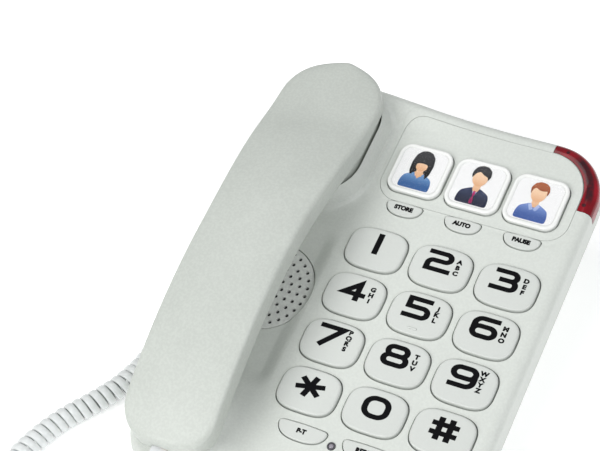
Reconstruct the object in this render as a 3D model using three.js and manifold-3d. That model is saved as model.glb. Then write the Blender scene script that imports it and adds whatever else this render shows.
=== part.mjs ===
// A corded desk telephone with large keys, three picture memory keys and a coiled handset cord.
// Millimetres, +Z up, the user sits at -Y. The table is z = 0.
// Most pieces are drawn in the deck frame: x across, y up the sloping deck, z out of its face, with the
// origin on the deck's face at the middle of the keypad. One turned group then lays them on the table.

import * as THREE from "three";
import { mergeVertices } from "three/addons/utils/BufferGeometryUtils.js";
import Module from "manifold-3d";

const wasm = await Module();
wasm.setup();

// ---------------------------------------------------------------- driving dimensions

const GAP = 0.3; // between pieces that touch
const WALL = 2.5; // thickness of a moulded wall

const DECK = { slope: THREE.MathUtils.degToRad(9), rise: 40.3 }; // tilt, and the keypad middle's height
const BASE = { left: -106, right: 56, front: -101, back: 121.5, corner: 27, edge: 4, parting: -15 };
const FOOT = { radius: 6, height: 3.5 };
const FLOOR = FOOT.height; // height of the underside above the table
const TAPER = { start: 2, slope: 0.27 }; // how far the lower case leans in as it goes down

const KEY = { pitchX: 33, pitchY: 26, width: 29.4, depth: 22.3, power: 3.04, proud: 1.8, clear: 0.5 };
const FLANGE = { wide: 1.1, thick: 1.2 }; // the lip under the deck that keeps a key in
const TRAVEL = 1.5; // how far a key is pressed
const MEMORY = { pitch: 29.6, y: 85.8, width: 27.3, depth: 27, corner: 6, proud: 2.3 };
const PANEL = { left: -47, right: 48.6, front: 67.3, back: 114.8, corner: 11, lensCorner: 21 };
const LENS = { from: 27.3, down: 9 };
const HALF_MOON = { width: 18.4, depth: 6.8, y: 66.7, proud: 1 }; // y of the straight back edge
const WIDE_MOON = { width: 24.5, depth: 8, y: -55.3 };
const LAMP = { x: -12.2, y: -60.5, radius: 1.75 };
const GRILLE = { x: -77.5, y: 7, radius: 23.5, hole: 0.85, ring: 4.1, rings: 5, z: -3 };

const AXIS = -80.2; // the handset's middle line, across the deck
const EAR = { x: AXIS, y: 87, halfX: 21.2, halfY: 29.5, corner: 18, rim: 10 };
const MOUTH = { x: AXIS, y: -71, halfX: 18, halfY: 18.5, corner: 13, rim: 6 };
const WELL = { clear: 1.5, floor: -6 };
const BLOCK_FOOT = -5; // underside of the two ends of the handset
const HANDSET = {
  ear: 124, mouth: -94.5, earRound: 26, mouthRound: 17, earWidth: 26, gripWidth: 23.2, mouthWidth: 22,
  top: 40, apex: 4, radius: 240, crown: 2.2, band: 6, grip: 17, wall: 2.2,
};
const HOOK = { y: 101, width: 9, depth: 6 };
const PLUG = { width: 7.6, height: 6.4, body: 11, boot: 7 };
const BASE_JACK = { x: -101, y: -15, z: -25 };
const HANDSET_JACK = { y: -97, z: 12 }; // where the plug's body ends and its boot begins
const LINE_JACK = { x: 20, z: -35, width: 14, height: 12, depth: 14 };
const RINGER_SLOT = { x: -10, z: -30 };
const CARD = { low: 0.7, high: 1, inset: 2.4 }; // the picture card, under its clear cap
const MEMBRANE = { low: -8, high: -7, dome: -WALL - GAP - FLANGE.thick - TRAVEL - 0.4 };
const COIL = { radius: 5.7, tail: 2.1 }; // outside of the coiled cord, and the plain cord at its ends

// ---------------------------------------------------------------- solids

const material = (color, roughness = 0.5, metalness = 0) =>
  new THREE.MeshStandardMaterial({ color, roughness, metalness });

const CASE = material(0xd9dbd3, 0.45);
const KEYCAP = material(0xe4e6df, 0.35);
const CORD = material(0xeceef0, 0.3);
const DARK = material(0x2b2b2d, 0.7);
const BOARD = material(0x2f6b3c, 0.6);
const STEEL = material(0xa8aaad, 0.35, 1);
const PAPER = material(0xf6f6f4, 0.9);
const CLEAR = material(0xe8f0f2, 0.1);
const RED = material(0xa3121c, 0.15);

function solid(geometry) {
  const bare = geometry.index ? geometry.toNonIndexed() : geometry.clone();
  bare.deleteAttribute("normal");
  bare.deleteAttribute("uv");
  const merged = mergeVertices(bare, 1e-4);
  return new wasm.Manifold(
    new wasm.Mesh({
      numProp: 3,
      vertProperties: new Float32Array(merged.attributes.position.array),
      triVerts: new Uint32Array(merged.index.array),
    }),
  );
}

function geometryOf(body) {
  const { vertProperties, triVerts } = body.getMesh();
  const geometry = new THREE.BufferGeometry();
  geometry.setAttribute("position", new THREE.BufferAttribute(vertProperties, 3));
  geometry.setIndex(new THREE.BufferAttribute(triVerts, 1));
  geometry.computeVertexNormals();
  return geometry;
}

function put(group, name, body, finish) {
  const mesh = new THREE.Mesh(geometryOf(body), finish);
  mesh.name = name;
  group.add(mesh);
}

const joined = (bodies) => bodies.reduce((sum, body) => sum.add(body));

function prism(shape, low, high, steps = 3) {
  const geometry = new THREE.ExtrudeGeometry(shape, {
    depth: high - low, bevelEnabled: false, curveSegments: steps,
  });
  return solid(geometry.translate(0, 0, low));
}

function drum(x, y, low, high, radius, sides = 16) {
  const geometry = new THREE.CylinderGeometry(radius, radius, high - low, sides);
  return solid(geometry.rotateX(Math.PI / 2).translate(x, y, (low + high) / 2));
}

function block(x0, x1, y0, y1, z0, z1) {
  const geometry = new THREE.BoxGeometry(x1 - x0, y1 - y0, z1 - z0);
  return solid(geometry.translate((x0 + x1) / 2, (y0 + y1) / 2, (z0 + z1) / 2));
}

function roundedRectangle(x, y, halfX, halfY, corner) {
  const shape = new THREE.Shape();
  shape.absarc(x + halfX - corner, y + halfY - corner, corner, 0, Math.PI / 2);
  shape.absarc(x - halfX + corner, y + halfY - corner, corner, Math.PI / 2, Math.PI);
  shape.absarc(x - halfX + corner, y - halfY + corner, corner, Math.PI, 1.5 * Math.PI);
  shape.absarc(x + halfX - corner, y - halfY + corner, corner, 1.5 * Math.PI, 2 * Math.PI);
  return shape;
}

function superellipse(x, y, halfX, halfY, power, count = 16) {
  const points = Array.from({ length: count }, (_, i) => {
    const angle = (2 * Math.PI * (i + 0.5)) / count;
    const bulge = (value) => Math.sign(value) * Math.abs(value) ** (2 / power);
    return new THREE.Vector2(x + halfX * bulge(Math.cos(angle)), y + halfY * bulge(Math.sin(angle)));
  });
  return new THREE.Shape(points);
}

// Straight along its back edge, at height y, and bowed towards the user.
function halfMoon(x, y, halfX, depth) {
  const shape = new THREE.Shape();
  shape.moveTo(x + halfX, y);
  shape.lineTo(x - halfX, y);
  shape.bezierCurveTo(x - halfX, y - depth * 0.9, x - halfX * 0.45, y - depth, x, y - depth);
  shape.bezierCurveTo(x + halfX * 0.45, y - depth, x + halfX, y - depth * 0.9, x + halfX, y);
  return shape;
}

// A closed body over a plan outline. Each row runs from left(y) to right(y) through the places that
// columns(left, right) gives, and low and high give the height of its two faces.
function slab({ rows, columns, left, right, low, high }) {
  const top = [];
  const bottom = [];
  for (const y of rows) {
    const line = columns(left(y), right(y));
    top.push(line.map((x) => [x, y, high(x, y)]));
    bottom.push(line.map((x) => [x, y, low(x, y)]));
  }
  const positions = [];
  const face = (a, b, c, d) => positions.push(...a, ...b, ...c, ...a, ...c, ...d);
  const last = { row: rows.length - 1, column: top[0].length - 1 };
  for (let i = 0; i < last.row; i++) {
    for (let j = 0; j < last.column; j++) {
      face(top[i][j], top[i][j + 1], top[i + 1][j + 1], top[i + 1][j]);
      face(bottom[i][j], bottom[i + 1][j], bottom[i + 1][j + 1], bottom[i][j + 1]);
    }
    face(top[i][0], top[i + 1][0], bottom[i + 1][0], bottom[i][0]);
    const end = last.column;
    face(top[i][end], bottom[i][end], bottom[i + 1][end], top[i + 1][end]);
  }
  for (let j = 0; j < last.column; j++) {
    const end = last.row;
    face(top[0][j], bottom[0][j], bottom[0][j + 1], top[0][j + 1]);
    face(top[end][j], top[end][j + 1], bottom[end][j + 1], bottom[end][j]);
  }
  const geometry = new THREE.BufferGeometry();
  geometry.setAttribute("position", new THREE.Float32BufferAttribute(positions, 3));
  return solid(geometry);
}

const even = (from, to, count) =>
  Array.from({ length: count + 1 }, (_, i) => from + ((to - from) * i) / count);

// Places from one end to the other, close together at both ends, where an outline turns.
const eased = (from, to, count) =>
  Array.from({ length: count + 1 }, (_, i) => {
    const t = (1 - Math.cos((Math.PI * i) / count)) / 2;
    return from + (to - from) * t;
  });

// ---------------------------------------------------------------- the deck's face

const smooth = (t) => THREE.MathUtils.smoothstep(t, 0, 1);
const clamp = THREE.MathUtils.clamp;

// How far a rounded corner at either end has drawn an outline's side in, at y.
function cornerInset(y, front, back, radius) {
  const into = Math.max(front + radius - y, y - back + radius, 0);
  return radius - Math.sqrt(Math.max(radius ** 2 - into ** 2, 0));
}

const baseLeft = (inset) => (y) =>
  BASE.left + inset + cornerInset(y, BASE.front + inset, BASE.back - inset, BASE.corner - inset);
const baseRight = (inset) => (y) =>
  BASE.right - inset - cornerInset(y, BASE.front + inset, BASE.back - inset, BASE.corner - inset);

// Distance from a point to the edge of a rounded rectangle, negative inside it.
function edgeDistance({ x: cx, y: cy, halfX, halfY, corner }, x, y) {
  const dx = Math.abs(x - cx) - halfX + corner;
  const dy = Math.abs(y - cy) - halfY + corner;
  return Math.hypot(Math.max(dx, 0), Math.max(dy, 0)) + Math.min(Math.max(dx, dy), 0) - corner;
}

// The collar round a well: its full height at the rim, then a hollow curve down to the deck.
function collar(end, x, y, reach) {
  const away = Math.max(edgeDistance(end, x, y) - WELL.clear, 0);
  return end.rim * (1 - clamp(away / reach, 0, 1)) ** 2;
}

function deckHeight(x, y) {
  const outside = x < AXIS;
  const backSweep = 60 * smooth((y - 106) / 15); // the collar runs out along the back edge
  const ear = collar(EAR, x, y, outside ? 90 : 9 + backSweep);
  const mouth = collar(MOUTH, x, y, outside ? 60 : 18);
  const valley = GRILLE.z * smooth((-52 - x) / 8) * smooth((44 - y) / 9) * smooth((y + 44) / 9);
  return Math.max(ear, mouth) + valley;
}

// The fall of the face over its rounded outer edge.
function edgeFall(x, y) {
  const corner = {
    x: (BASE.left + BASE.right) / 2, y: (BASE.front + BASE.back) / 2,
    halfX: (BASE.right - BASE.left) / 2, halfY: (BASE.back - BASE.front) / 2, corner: BASE.corner,
  };
  const into = clamp(-edgeDistance(corner, x, y), 0, BASE.edge);
  return BASE.edge - Math.sqrt(BASE.edge ** 2 - (BASE.edge - into) ** 2);
}

// Everything under the deck's face, inside the case's outline: the case itself at inset 0.
function deckBody(inset, low, drop, detail = 1) {
  const flat = -50; // from here to the right the face is level, but for the sweep at its back
  const columns = (left, right) => [
    left, left + 1, ...even(left + BASE.edge, flat, Math.round(8 * detail)), ...even(flat + 7, 0, 3),
    right - BASE.edge, right - 1, right,
  ];
  return slab({
    rows: eased(BASE.front + inset, BASE.back - inset, Math.round(24 * detail)), columns,
    left: baseLeft(inset), right: baseRight(inset),
    low: () => low, high: (x, y) => deckHeight(x, y) - edgeFall(x, y) - drop,
  });
}

const wellShape = (end, grow) =>
  roundedRectangle(end.x, end.y, end.halfX + grow, end.halfY + grow, end.corner + grow);

// The table's own directions, seen from the deck frame.
const deckFrame = new THREE.Matrix4().makeRotationX(DECK.slope).setPosition(0, 0, DECK.rise);
const intoDeck = deckFrame.clone().invert();
const floorAt = (y, height) => (height - DECK.rise - y * Math.sin(DECK.slope)) / Math.cos(DECK.slope);

// An upright drum under the deck point (x, y), between two heights above the table.
function post(x, y, low, high, radius, sides = 12) {
  const place = new THREE.Vector3(x, y, 0).applyMatrix4(deckFrame);
  const geometry = new THREE.CylinderGeometry(radius, radius, high - low, sides);
  geometry.rotateX(Math.PI / 2).translate(place.x, place.y, (low + high) / 2);
  return solid(geometry.applyMatrix4(intoDeck));
}

const SCREW_PLACES = [[16.5, 56], [16.5, -84], [-46, -84], [-46, 100]];
const FOOT_PLACES = [[31, 96], [36, -80], [-86, -80], [-81, 96]];
const deckFaceAbove = (x, y) => DECK.rise + y * Math.sin(DECK.slope) - WALL / Math.cos(DECK.slope);

// ---------------------------------------------------------------- key and panel outlines

const KEY_NAMES = ["1", "2", "3", "4", "5", "6", "7", "8", "9", "star", "0", "hash"];
const KEY_PLACES = KEY_NAMES.map((name, i) => ({
  name: `key_${name}`, x: ((i % 3) - 1) * KEY.pitchX, y: (1.5 - Math.floor(i / 3)) * KEY.pitchY,
}));
const keyShape = ({ x, y }, grow) =>
  superellipse(x, y, KEY.width / 2 + grow, KEY.depth / 2 + grow, KEY.power);

const MEMORY_PLACES = [-1, 0, 1].map((i) => ({ number: i + 2, x: i * MEMORY.pitch, y: MEMORY.y }));
const memoryShape = ({ x, y }, grow) =>
  roundedRectangle(x, y, MEMORY.width / 2 + grow, MEMORY.depth / 2 + grow, MEMORY.corner + grow);

const MOON_KEYS = [
  { name: "store_key", x: -29.3, ...HALF_MOON }, { name: "auto_key", x: 0.6, ...HALF_MOON },
  { name: "pause_key", x: 30.4, ...HALF_MOON }, { name: "pulse_tone_key", x: -27.9, ...WIDE_MOON },
  { name: "redial_key", x: 4.2, ...WIDE_MOON }, { name: "flash_key", x: 32.3, ...WIDE_MOON },
];
const moonShape = ({ x, y, width, depth }, grow) =>
  halfMoon(x, y + grow, width / 2 + grow * 1.4, depth + 2 * grow);

// The picture panel: its back right corner follows the lens.
function panelShape(grow) {
  const { corner, lensCorner } = PANEL;
  const [left, right] = [PANEL.left - grow, PANEL.right + grow];
  const [front, back] = [PANEL.front - grow, PANEL.back + grow];
  const shape = new THREE.Shape();
  shape.absarc(right - lensCorner - grow, back - lensCorner - grow, lensCorner + grow, 0, Math.PI / 2);
  shape.absarc(left + corner, back - corner, corner, Math.PI / 2, Math.PI);
  shape.absarc(left + corner, front + corner, corner, Math.PI, 1.5 * Math.PI);
  shape.absarc(right - corner, front + corner, corner, 1.5 * Math.PI, 2 * Math.PI);
  return shape;
}

// The lens: a band round the back right corner, between the panel and the case's edge.
function lensShape(grow) {
  const reach = BASE.corner + 8;
  const [cx, cy] = [PANEL.right - PANEL.lensCorner, PANEL.back - PANEL.lensCorner];
  const inner = PANEL.lensCorner + GAP - grow;
  const shape = new THREE.Shape();
  shape.moveTo(LENS.from - grow, cy + reach);
  shape.lineTo(LENS.from - grow, cy + inner);
  shape.absarc(cx, cy, inner, Math.PI / 2, 0, true);
  shape.lineTo(cx + inner, cy - 6 - grow);
  shape.lineTo(cx + reach, cy - 6 - grow);
  shape.lineTo(cx + reach, cy + reach);
  return shape;
}

// ---------------------------------------------------------------- base

function topShell() {
  const outer = deckBody(0, BASE.parting, 0);
  const inner = deckBody(WALL, BASE.parting - 1, WALL, 0.6);
  const wells = [EAR, MOUTH].map((end) => prism(wellShape(end, WELL.clear), WELL.floor, 30));
  const wellWalls = [EAR, MOUTH].map((end) =>
    prism(wellShape(end, WELL.clear + WALL), WELL.floor - WALL, 30),
  );
  let shell = outer.subtract(joined(wells)).subtract(inner.subtract(joined(wellWalls)));
  for (const [x, y] of SCREW_PLACES) {
    const reach = FLOOR + WALL + GAP;
    shell = shell.add(post(x, y, reach, deckFaceAbove(x, y) + 0.5, 3.2));
    shell = shell.subtract(post(x, y, reach - 1, reach + 9, 1.6, 8));
  }
  const through = [-WALL - 2, KEY.proud + 2];
  const cuts = [
    ...KEY_PLACES.map((key) => prism(keyShape(key, KEY.clear), ...through)),
    ...MOON_KEYS.map((key) => prism(moonShape(key, KEY.clear), ...through)),
    prism(panelShape(GAP), ...through),
    prism(lensShape(GAP), -LENS.down - GAP, 4),
    drum(LAMP.x, LAMP.y, ...through, LAMP.radius + GAP, 12),
    drum(GRILLE.x, GRILLE.y, GRILLE.z - WALL - 2, 2, GRILLE.radius + GAP, 32),
    block(AXIS - HOOK.width / 2 - 0.5, AXIS + HOOK.width / 2 + 0.5,
      HOOK.y - HOOK.depth / 2 - 0.5, HOOK.y + HOOK.depth / 2 + 0.5,
      WELL.floor - WALL - 1, WELL.floor + 1),
  ];
  return shell.subtract(joined(cuts));
}

function speakerGrille() {
  const { x, y, radius, hole, ring, rings, z } = GRILLE;
  const holes = [drum(x, y, z - 4, z + 1, hole, 4)];
  for (let i = 1; i <= rings; i++)
    for (let k = 0; k < 6 * i; k++) {
      const angle = (Math.PI * k) / (3 * i);
      holes.push(drum(x + ring * i * Math.cos(angle), y + ring * i * Math.sin(angle), z - 4, z + 1, hole, 4));
    }
  return drum(x, y, z - 2.2, z - 0.4, radius, 32).subtract(joined(holes));
}

// The lower case: a tray whose walls lean in, with its floor level above the table.
function bottomShell() {
  const start = BASE.parting - GAP;
  const outline = (inset) => {
    const shape = roundedRectangle(
      (BASE.left + BASE.right) / 2, (BASE.front + BASE.back) / 2,
      (BASE.right - BASE.left) / 2 - inset, (BASE.back - BASE.front) / 2 - inset, BASE.corner - inset,
    );
    return shape.extractPoints(7).shape;
  };
  const middle = { x: (BASE.left + BASE.right) / 2, y: (BASE.front + BASE.back) / 2 };
  const rim = (inset, height) => outline(inset).map(({ x, y }) => [x, y, height]);
  const foot = (inset, height) =>
    outline(inset).map(({ x, y }) => {
      const lean = TAPER.start + TAPER.slope * (start - floorAt(y, height));
      const across = 1 - lean / ((BASE.right - BASE.left) / 2);
      const along = 1 - lean / ((BASE.back - BASE.front) / 2);
      const [fx, fy] = [middle.x + (x - middle.x) * across, middle.y + (y - middle.y) * along];
      return [fx, fy, floorAt(fy, height)];
    });
  const shell = tray([foot(0, FLOOR), rim(0, start), rim(WALL, start), foot(WALL, FLOOR + WALL)]);
  const { x, z, width, height } = LINE_JACK;
  const cuts = [
    block(x - width / 2 - GAP, x + width / 2 + GAP, 90, 130, z - height / 2 - GAP, z + height / 2 + GAP),
    block(-120, -92, BASE_JACK.y - 6.3, BASE_JACK.y + 6.3, BASE_JACK.z - 5.3, BASE_JACK.z + 5.3),
    block(RINGER_SLOT.x - 5.2, RINGER_SLOT.x + 5.2, 95, 130, RINGER_SLOT.z - 2, RINGER_SLOT.z + 2),
    ...SCREW_PLACES.map(([sx, sy]) => post(sx, sy, 0, FLOOR + WALL + 1, 2, 10)),
    ...SCREW_PLACES.map(([sx, sy]) => post(sx, sy, 0, FLOOR + 1.4, 3.6, 12)),
  ];
  return shell.subtract(joined(cuts));
}

// A body bounded by closed rings of as many points each, in order, with a flat end on the first and last.
function tray(rings) {
  const positions = [];
  const count = rings[0].length;
  for (let r = 0; r < rings.length - 1; r++)
    for (let k = 0; k < count; k++) {
      const n = (k + 1) % count;
      const [a, b, c, d] = [rings[r][k], rings[r][n], rings[r + 1][n], rings[r + 1][k]];
      positions.push(...a, ...b, ...c, ...a, ...c, ...d);
    }
  const cap = (ring, flipped) => {
    for (let k = 1; k < count - 1; k++) {
      const [a, b, c] = [ring[0], ring[k], ring[k + 1]];
      positions.push(...a, ...(flipped ? c : b), ...(flipped ? b : c));
    }
  };
  cap(rings[0], true);
  cap(rings[rings.length - 1], false);
  const geometry = new THREE.BufferGeometry();
  geometry.setAttribute("position", new THREE.Float32BufferAttribute(positions, 3));
  return solid(geometry);
}

// How far the lower case's back wall stands in from the outline, at deck height z.
const backWallAt = (z) => {
  const fall = clamp((BASE.parting - z) / (BASE.parting - floorAt(BASE.back, FLOOR)), 0, 1);
  return BASE.back - fall * (TAPER.start + TAPER.slope * (BASE.parting - floorAt(BASE.back, FLOOR)));
};

function lineJack() {
  const { x, z, width, height, depth } = LINE_JACK;
  const face = backWallAt(z) + 0.6;
  const body = block(x - width / 2, x + width / 2, face - depth, face, z - height / 2, z + height / 2);
  return body.subtract(block(x - 4.9, x + 4.9, face - depth + 2, face + 1, z - 3.4, z + 3.8));
}

function handsetJack() {
  const { x, y, z } = BASE_JACK;
  const body = block(x, x + 14, y - 6, y + 6, z - 5, z + 5);
  return body.subtract(
    block(x - 1, x + 12, y - PLUG.width / 2 - GAP, y + PLUG.width / 2 + GAP,
      z - PLUG.height / 2 - GAP, z + PLUG.height / 2 + GAP),
  );
}

function ringerSwitch() {
  const { x, z } = RINGER_SLOT;
  const face = backWallAt(z);
  return block(x - 1.8, x + 1.8, face - 5, face + 2, z - 1.6, z + 1.6).add(
    block(x - 6, x + 6, face - 7, face - 4.5, z - 3, z + 3),
  );
}

function key(place) {
  const foot = -WALL - GAP - FLANGE.thick;
  return prism(keyShape(place, 0), foot, KEY.proud).add(
    prism(keyShape(place, KEY.clear + FLANGE.wide), foot, -WALL - GAP),
  );
}

function moonKey(place) {
  const foot = -WALL - GAP - FLANGE.thick;
  const stem = block(place.x - 3, place.x + 3, place.y - 5, place.y - 2, foot, 0);
  return prism(moonShape(place, 0), foot, HALF_MOON.proud, 8).add(stem);
}

// A picture key is a button with a card on it, under a clear cap.
function memoryButton(place) {
  const foot = -WALL - GAP - FLANGE.thick;
  const body = prism(memoryShape(place, 0), foot, CARD.low - GAP);
  return body.add(prism(memoryShape(place, KEY.clear + 0.4), foot, -WALL - GAP));
}

const memoryCard = (place) => prism(memoryShape(place, -CARD.inset), CARD.low, CARD.high);

function memoryWindow(place) {
  const cap = prism(memoryShape(place, 0), CARD.low, MEMORY.proud);
  return cap.subtract(prism(memoryShape(place, -CARD.inset + GAP), CARD.low - 1, CARD.high + GAP));
}

function memoryPanel() {
  const holes = MEMORY_PLACES.map((place) => prism(memoryShape(place, KEY.clear), -WALL - 1, 1));
  return prism(panelShape(0), -WALL, 0, 7).subtract(joined(holes));
}

function ringerLens() {
  const band = deckBody(0, -LENS.down, 0).intersect(prism(lensShape(0), -LENS.down, 3, 8));
  return band.subtract(deckBody(WALL, -LENS.down - 1, WALL, 0.6));
}

function lampBoard() {
  const board = block(26, 44, 96, 110, -13, -11.6);
  return joined([board, drum(34, 106, -12, -8, 2.2, 10), drum(40, 100, -12, -8, 2.2, 10)]);
}

function membrane() {
  const sheet = block(-50, 50, -66, 50, MEMBRANE.low, MEMBRANE.high);
  const domes = KEY_PLACES.map(({ x, y }) => drum(x, y, MEMBRANE.low, MEMBRANE.dome, 4.5, 10));
  return joined([sheet, ...domes]);
}

function circuitBoard() {
  const board = block(-50, 51, -68, 92, -9.9, -8.3);
  const chips = [block(-12, 10, -30, -18, -12.4, -9), block(20, 34, 20, 30, -12, -9)];
  const bossRoom = SCREW_PLACES.map(([x, y]) => post(x, y, 0, 90, 4.4));
  return joined([board, ...chips]).subtract(joined(bossRoom));
}

function ringerSpeaker() {
  const { x, y, z } = GRILLE;
  return drum(x, y, z - 10, z - 4, 20, 24).add(drum(x, y, z - 18, z - 9, 11, 20));
}

function hookPlunger() {
  const { y, width, depth } = HOOK;
  return block(AXIS - width / 2, AXIS + width / 2, y - depth / 2, y + depth / 2, -22, BLOCK_FOOT - GAP).add(
    block(AXIS - 7, AXIS + 7, y - depth / 2, y + depth / 2, -22, -16),
  );
}

const hookSwitch = () => block(AXIS - 10, AXIS + 10, HOOK.y - 5, HOOK.y + 5, -34, -22.3);

function statusLamp() {
  return drum(LAMP.x, LAMP.y, -6, 0.6, LAMP.radius, 12);
}

// ---------------------------------------------------------------- handset

function handsetWidth(y, inset) {
  const { ear, mouth, earRound, mouthRound, earWidth, gripWidth, mouthWidth } = HANDSET;
  const toEar = smooth((y - 10) / 75);
  const toMouth = smooth((-30 - y) / 45);
  const plain = gripWidth + (earWidth - gripWidth) * toEar + (mouthWidth - gripWidth) * toMouth;
  const intoEar = clamp((y - (ear - earRound)) / (earRound - inset), 0, 1);
  const intoMouth = clamp((mouth + mouthRound - y) / (mouthRound - inset), 0, 1);
  const round = Math.sqrt(1 - intoEar ** 2) * (1 - 0.55 * (1 - Math.sqrt(1 - intoMouth ** 2)));
  return Math.max((plain - inset) * round, 4);
}

// The arch of the outer face along the handset, which flattens over the ear end.
function handsetArch(y) {
  const { top, apex, radius } = HANDSET;
  const bend = 84; // where the arch runs straight on
  const arch = (v) => top - radius + Math.sqrt(radius ** 2 - (v - apex) ** 2);
  return y < bend ? arch(y) : arch(bend) - 0.14 * (y - bend);
}

function handsetFace(x, y, drop) {
  const across = (x - AXIS) / handsetWidth(y, 0);
  return handsetArch(y) - HANDSET.crown * across ** 2 - drop;
}

function handsetSlab(inset, low, high) {
  const { ear, mouth } = HANDSET;
  return slab({
    rows: eased(mouth + inset, ear - inset, 24), columns: (left, right) => eased(left, right, 6),
    left: (y) => AXIS - handsetWidth(y, inset), right: (y) => AXIS + handsetWidth(y, inset), low, high,
  });
}

function handsetOuterShell() {
  const { band, wall, crown } = HANDSET;
  const lower = (x, y) => handsetArch(y) - crown - band;
  const outer = handsetSlab(0, lower, (x, y) => handsetFace(x, y, 0));
  const hollow = handsetSlab(wall, (x, y) => lower(x, y) - 1, (x, y) => handsetFace(x, y, wall));
  return outer.subtract(hollow).subtract(handsetSocket());
}

function handsetInnerShell() {
  const { band, wall, crown, grip } = HANDSET;
  const upper = (x, y) => handsetArch(y) - crown - band - GAP;
  const under = (x, y) => Math.max(handsetArch(y) - grip, (y > 0 ? EAR.rim : MOUTH.rim) + 1.5);
  const cover = (grow) => (x, y) => upper(x, y) + grow;
  const ends = (grow, floor) => [EAR, MOUTH].map((end) => prism(wellShape(end, -grow), floor, 60));
  const reach = handsetSlab(1.2, () => -20, cover(0));
  const outer = handsetSlab(1.2, under, cover(0)).add(joined(ends(0, BLOCK_FOOT)).intersect(reach));
  const inner = handsetSlab(1.2 + wall, (x, y) => under(x, y) + wall, cover(1)).add(
    joined(ends(wall, BLOCK_FOOT + wall)).intersect(handsetSlab(1.2 + wall, () => -20, cover(1))),
  );
  return outer.subtract(inner).subtract(handsetSocket());
}

// The hole for the handset's plug, through the end where the two shells meet.
function handsetSocket() {
  const { y, z } = HANDSET_JACK;
  const [halfWidth, halfHeight] = [PLUG.width / 2 + GAP, PLUG.height / 2 + GAP];
  return block(AXIS - halfWidth, AXIS + halfWidth, y - 1, y + 13, z - halfHeight, z + halfHeight);
}

const receiver = () => drum(EAR.x, EAR.y, BLOCK_FOOT + 2.6, BLOCK_FOOT + 10, 16.5, 24);
const microphone = () => drum(MOUTH.x, MOUTH.y + 4, BLOCK_FOOT + 2.6, BLOCK_FOOT + 8, 5, 16);
const weight = () => block(AXIS - 9, AXIS + 9, -38, 30, 26, 30);

// ---------------------------------------------------------------- plugs and cord

// A plug whose body runs along +Y from its own origin, with the boot and the cord behind it.
function plug() {
  const { width, height, body, boot } = PLUG;
  const shell = block(-width / 2, width / 2, 0, body, -height / 2, height / 2);
  return shell.add(block(-2.9, 2.9, -boot, 1, -2.3, 2.3));
}

// The cord's middle line on the table, from the base's plug round to the handset's, in the table frame.
const CORD_ROUTE = [
  [-109.4, -10.9, 13.3], [-117, -13, 12.4], [-123, -21, 9.8], [-128.5, -39, 6.2], [-133.5, -52.5, 5.8],
  [-139.1, -62.3, 5.8], [-149.6, -78.3, 5.8], [-156.1, -92.9, 5.8], [-159.5, -108, 5.8],
  [-158.5, -124, 5.8], [-151, -139, 5.8], [-137, -149, 5.8], [-120, -152, 6], [-103.5, -148, 8.2],
  [-90.5, -138.5, 15], [-83.5, -127, 24.5], [-80.7, -116, 33.5], [-80.2, -105.6, 38.8],
].map((place) => new THREE.Vector3(...place));

function tube(points, radius, sides, steps) {
  const section = new THREE.Shape(
    Array.from({ length: sides }, (_, i) => {
      const angle = (2 * Math.PI * i) / sides;
      return new THREE.Vector2(radius * Math.cos(angle), radius * Math.sin(angle));
    }),
  );
  const extrudePath = new THREE.CatmullRomCurve3(points, false, "centripetal");
  return solid(new THREE.ExtrudeGeometry(section, { steps, extrudePath, bevelEnabled: false }));
}

// The coil as one thick tube, with the plain cord coming out of both its ends.
function handsetCord() {
  const places = new THREE.CatmullRomCurve3(CORD_ROUTE, false, "centripetal").getSpacedPoints(100);
  const [first, last] = [5, 93]; // where the coil starts and ends, in hundredths of the route
  return joined([
    tube(places.slice(0, first + 3), COIL.tail, 8, 4),
    tube(places.slice(first, last + 1), COIL.radius, 8, 30),
    tube(places.slice(last - 2), COIL.tail, 8, 5),
  ]);
}

// ---------------------------------------------------------------- assembly

const phone = new THREE.Group();
const deck = new THREE.Group(); // everything that follows the sloping deck
deck.rotation.x = DECK.slope;
deck.position.z = DECK.rise;
phone.add(deck);

put(deck, "base_top_shell", topShell(), CASE);
put(deck, "base_bottom_shell", bottomShell(), CASE);
put(deck, "memory_panel", memoryPanel(), CASE);
put(deck, "ringer_lens", ringerLens(), RED);
put(deck, "ringer_lamp_board", lampBoard(), BOARD);
put(deck, "speaker_grille", speakerGrille(), CASE);
put(deck, "ringer_speaker", ringerSpeaker(), DARK);
put(deck, "main_circuit_board", circuitBoard(), BOARD);
put(deck, "keypad_membrane", membrane(), DARK);
put(deck, "status_lamp", statusLamp(), RED);
put(deck, "hook_plunger", hookPlunger(), CASE);
put(deck, "hook_switch", hookSwitch(), DARK);
put(deck, "line_jack", lineJack(), DARK);
put(deck, "handset_jack", handsetJack(), DARK);
put(deck, "ringer_switch", ringerSwitch(), DARK);
for (const place of KEY_PLACES) put(deck, place.name, key(place), KEYCAP);
for (const place of MOON_KEYS) put(deck, place.name, moonKey(place), KEYCAP);
for (const place of MEMORY_PLACES) {
  put(deck, `memory_key_${place.number}`, memoryButton(place), KEYCAP);
  put(deck, `memory_card_${place.number}`, memoryCard(place), PAPER);
  put(deck, `memory_window_${place.number}`, memoryWindow(place), CLEAR);
}
SCREW_PLACES.forEach(([x, y], i) => {
  const head = post(x, y, FLOOR - 0.6, FLOOR + 1.1, 2.8, 12);
  put(deck, `base_screw_${i + 1}`, head.add(post(x, y, FLOOR, FLOOR + 11, 1.3, 8)), STEEL);
});

put(deck, "handset_outer_shell", handsetOuterShell(), CASE);
put(deck, "handset_inner_shell", handsetInnerShell(), CASE);
put(deck, "receiver_capsule", receiver(), DARK);
put(deck, "microphone", microphone(), DARK);
put(deck, "handset_weight", weight(), STEEL);

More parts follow.
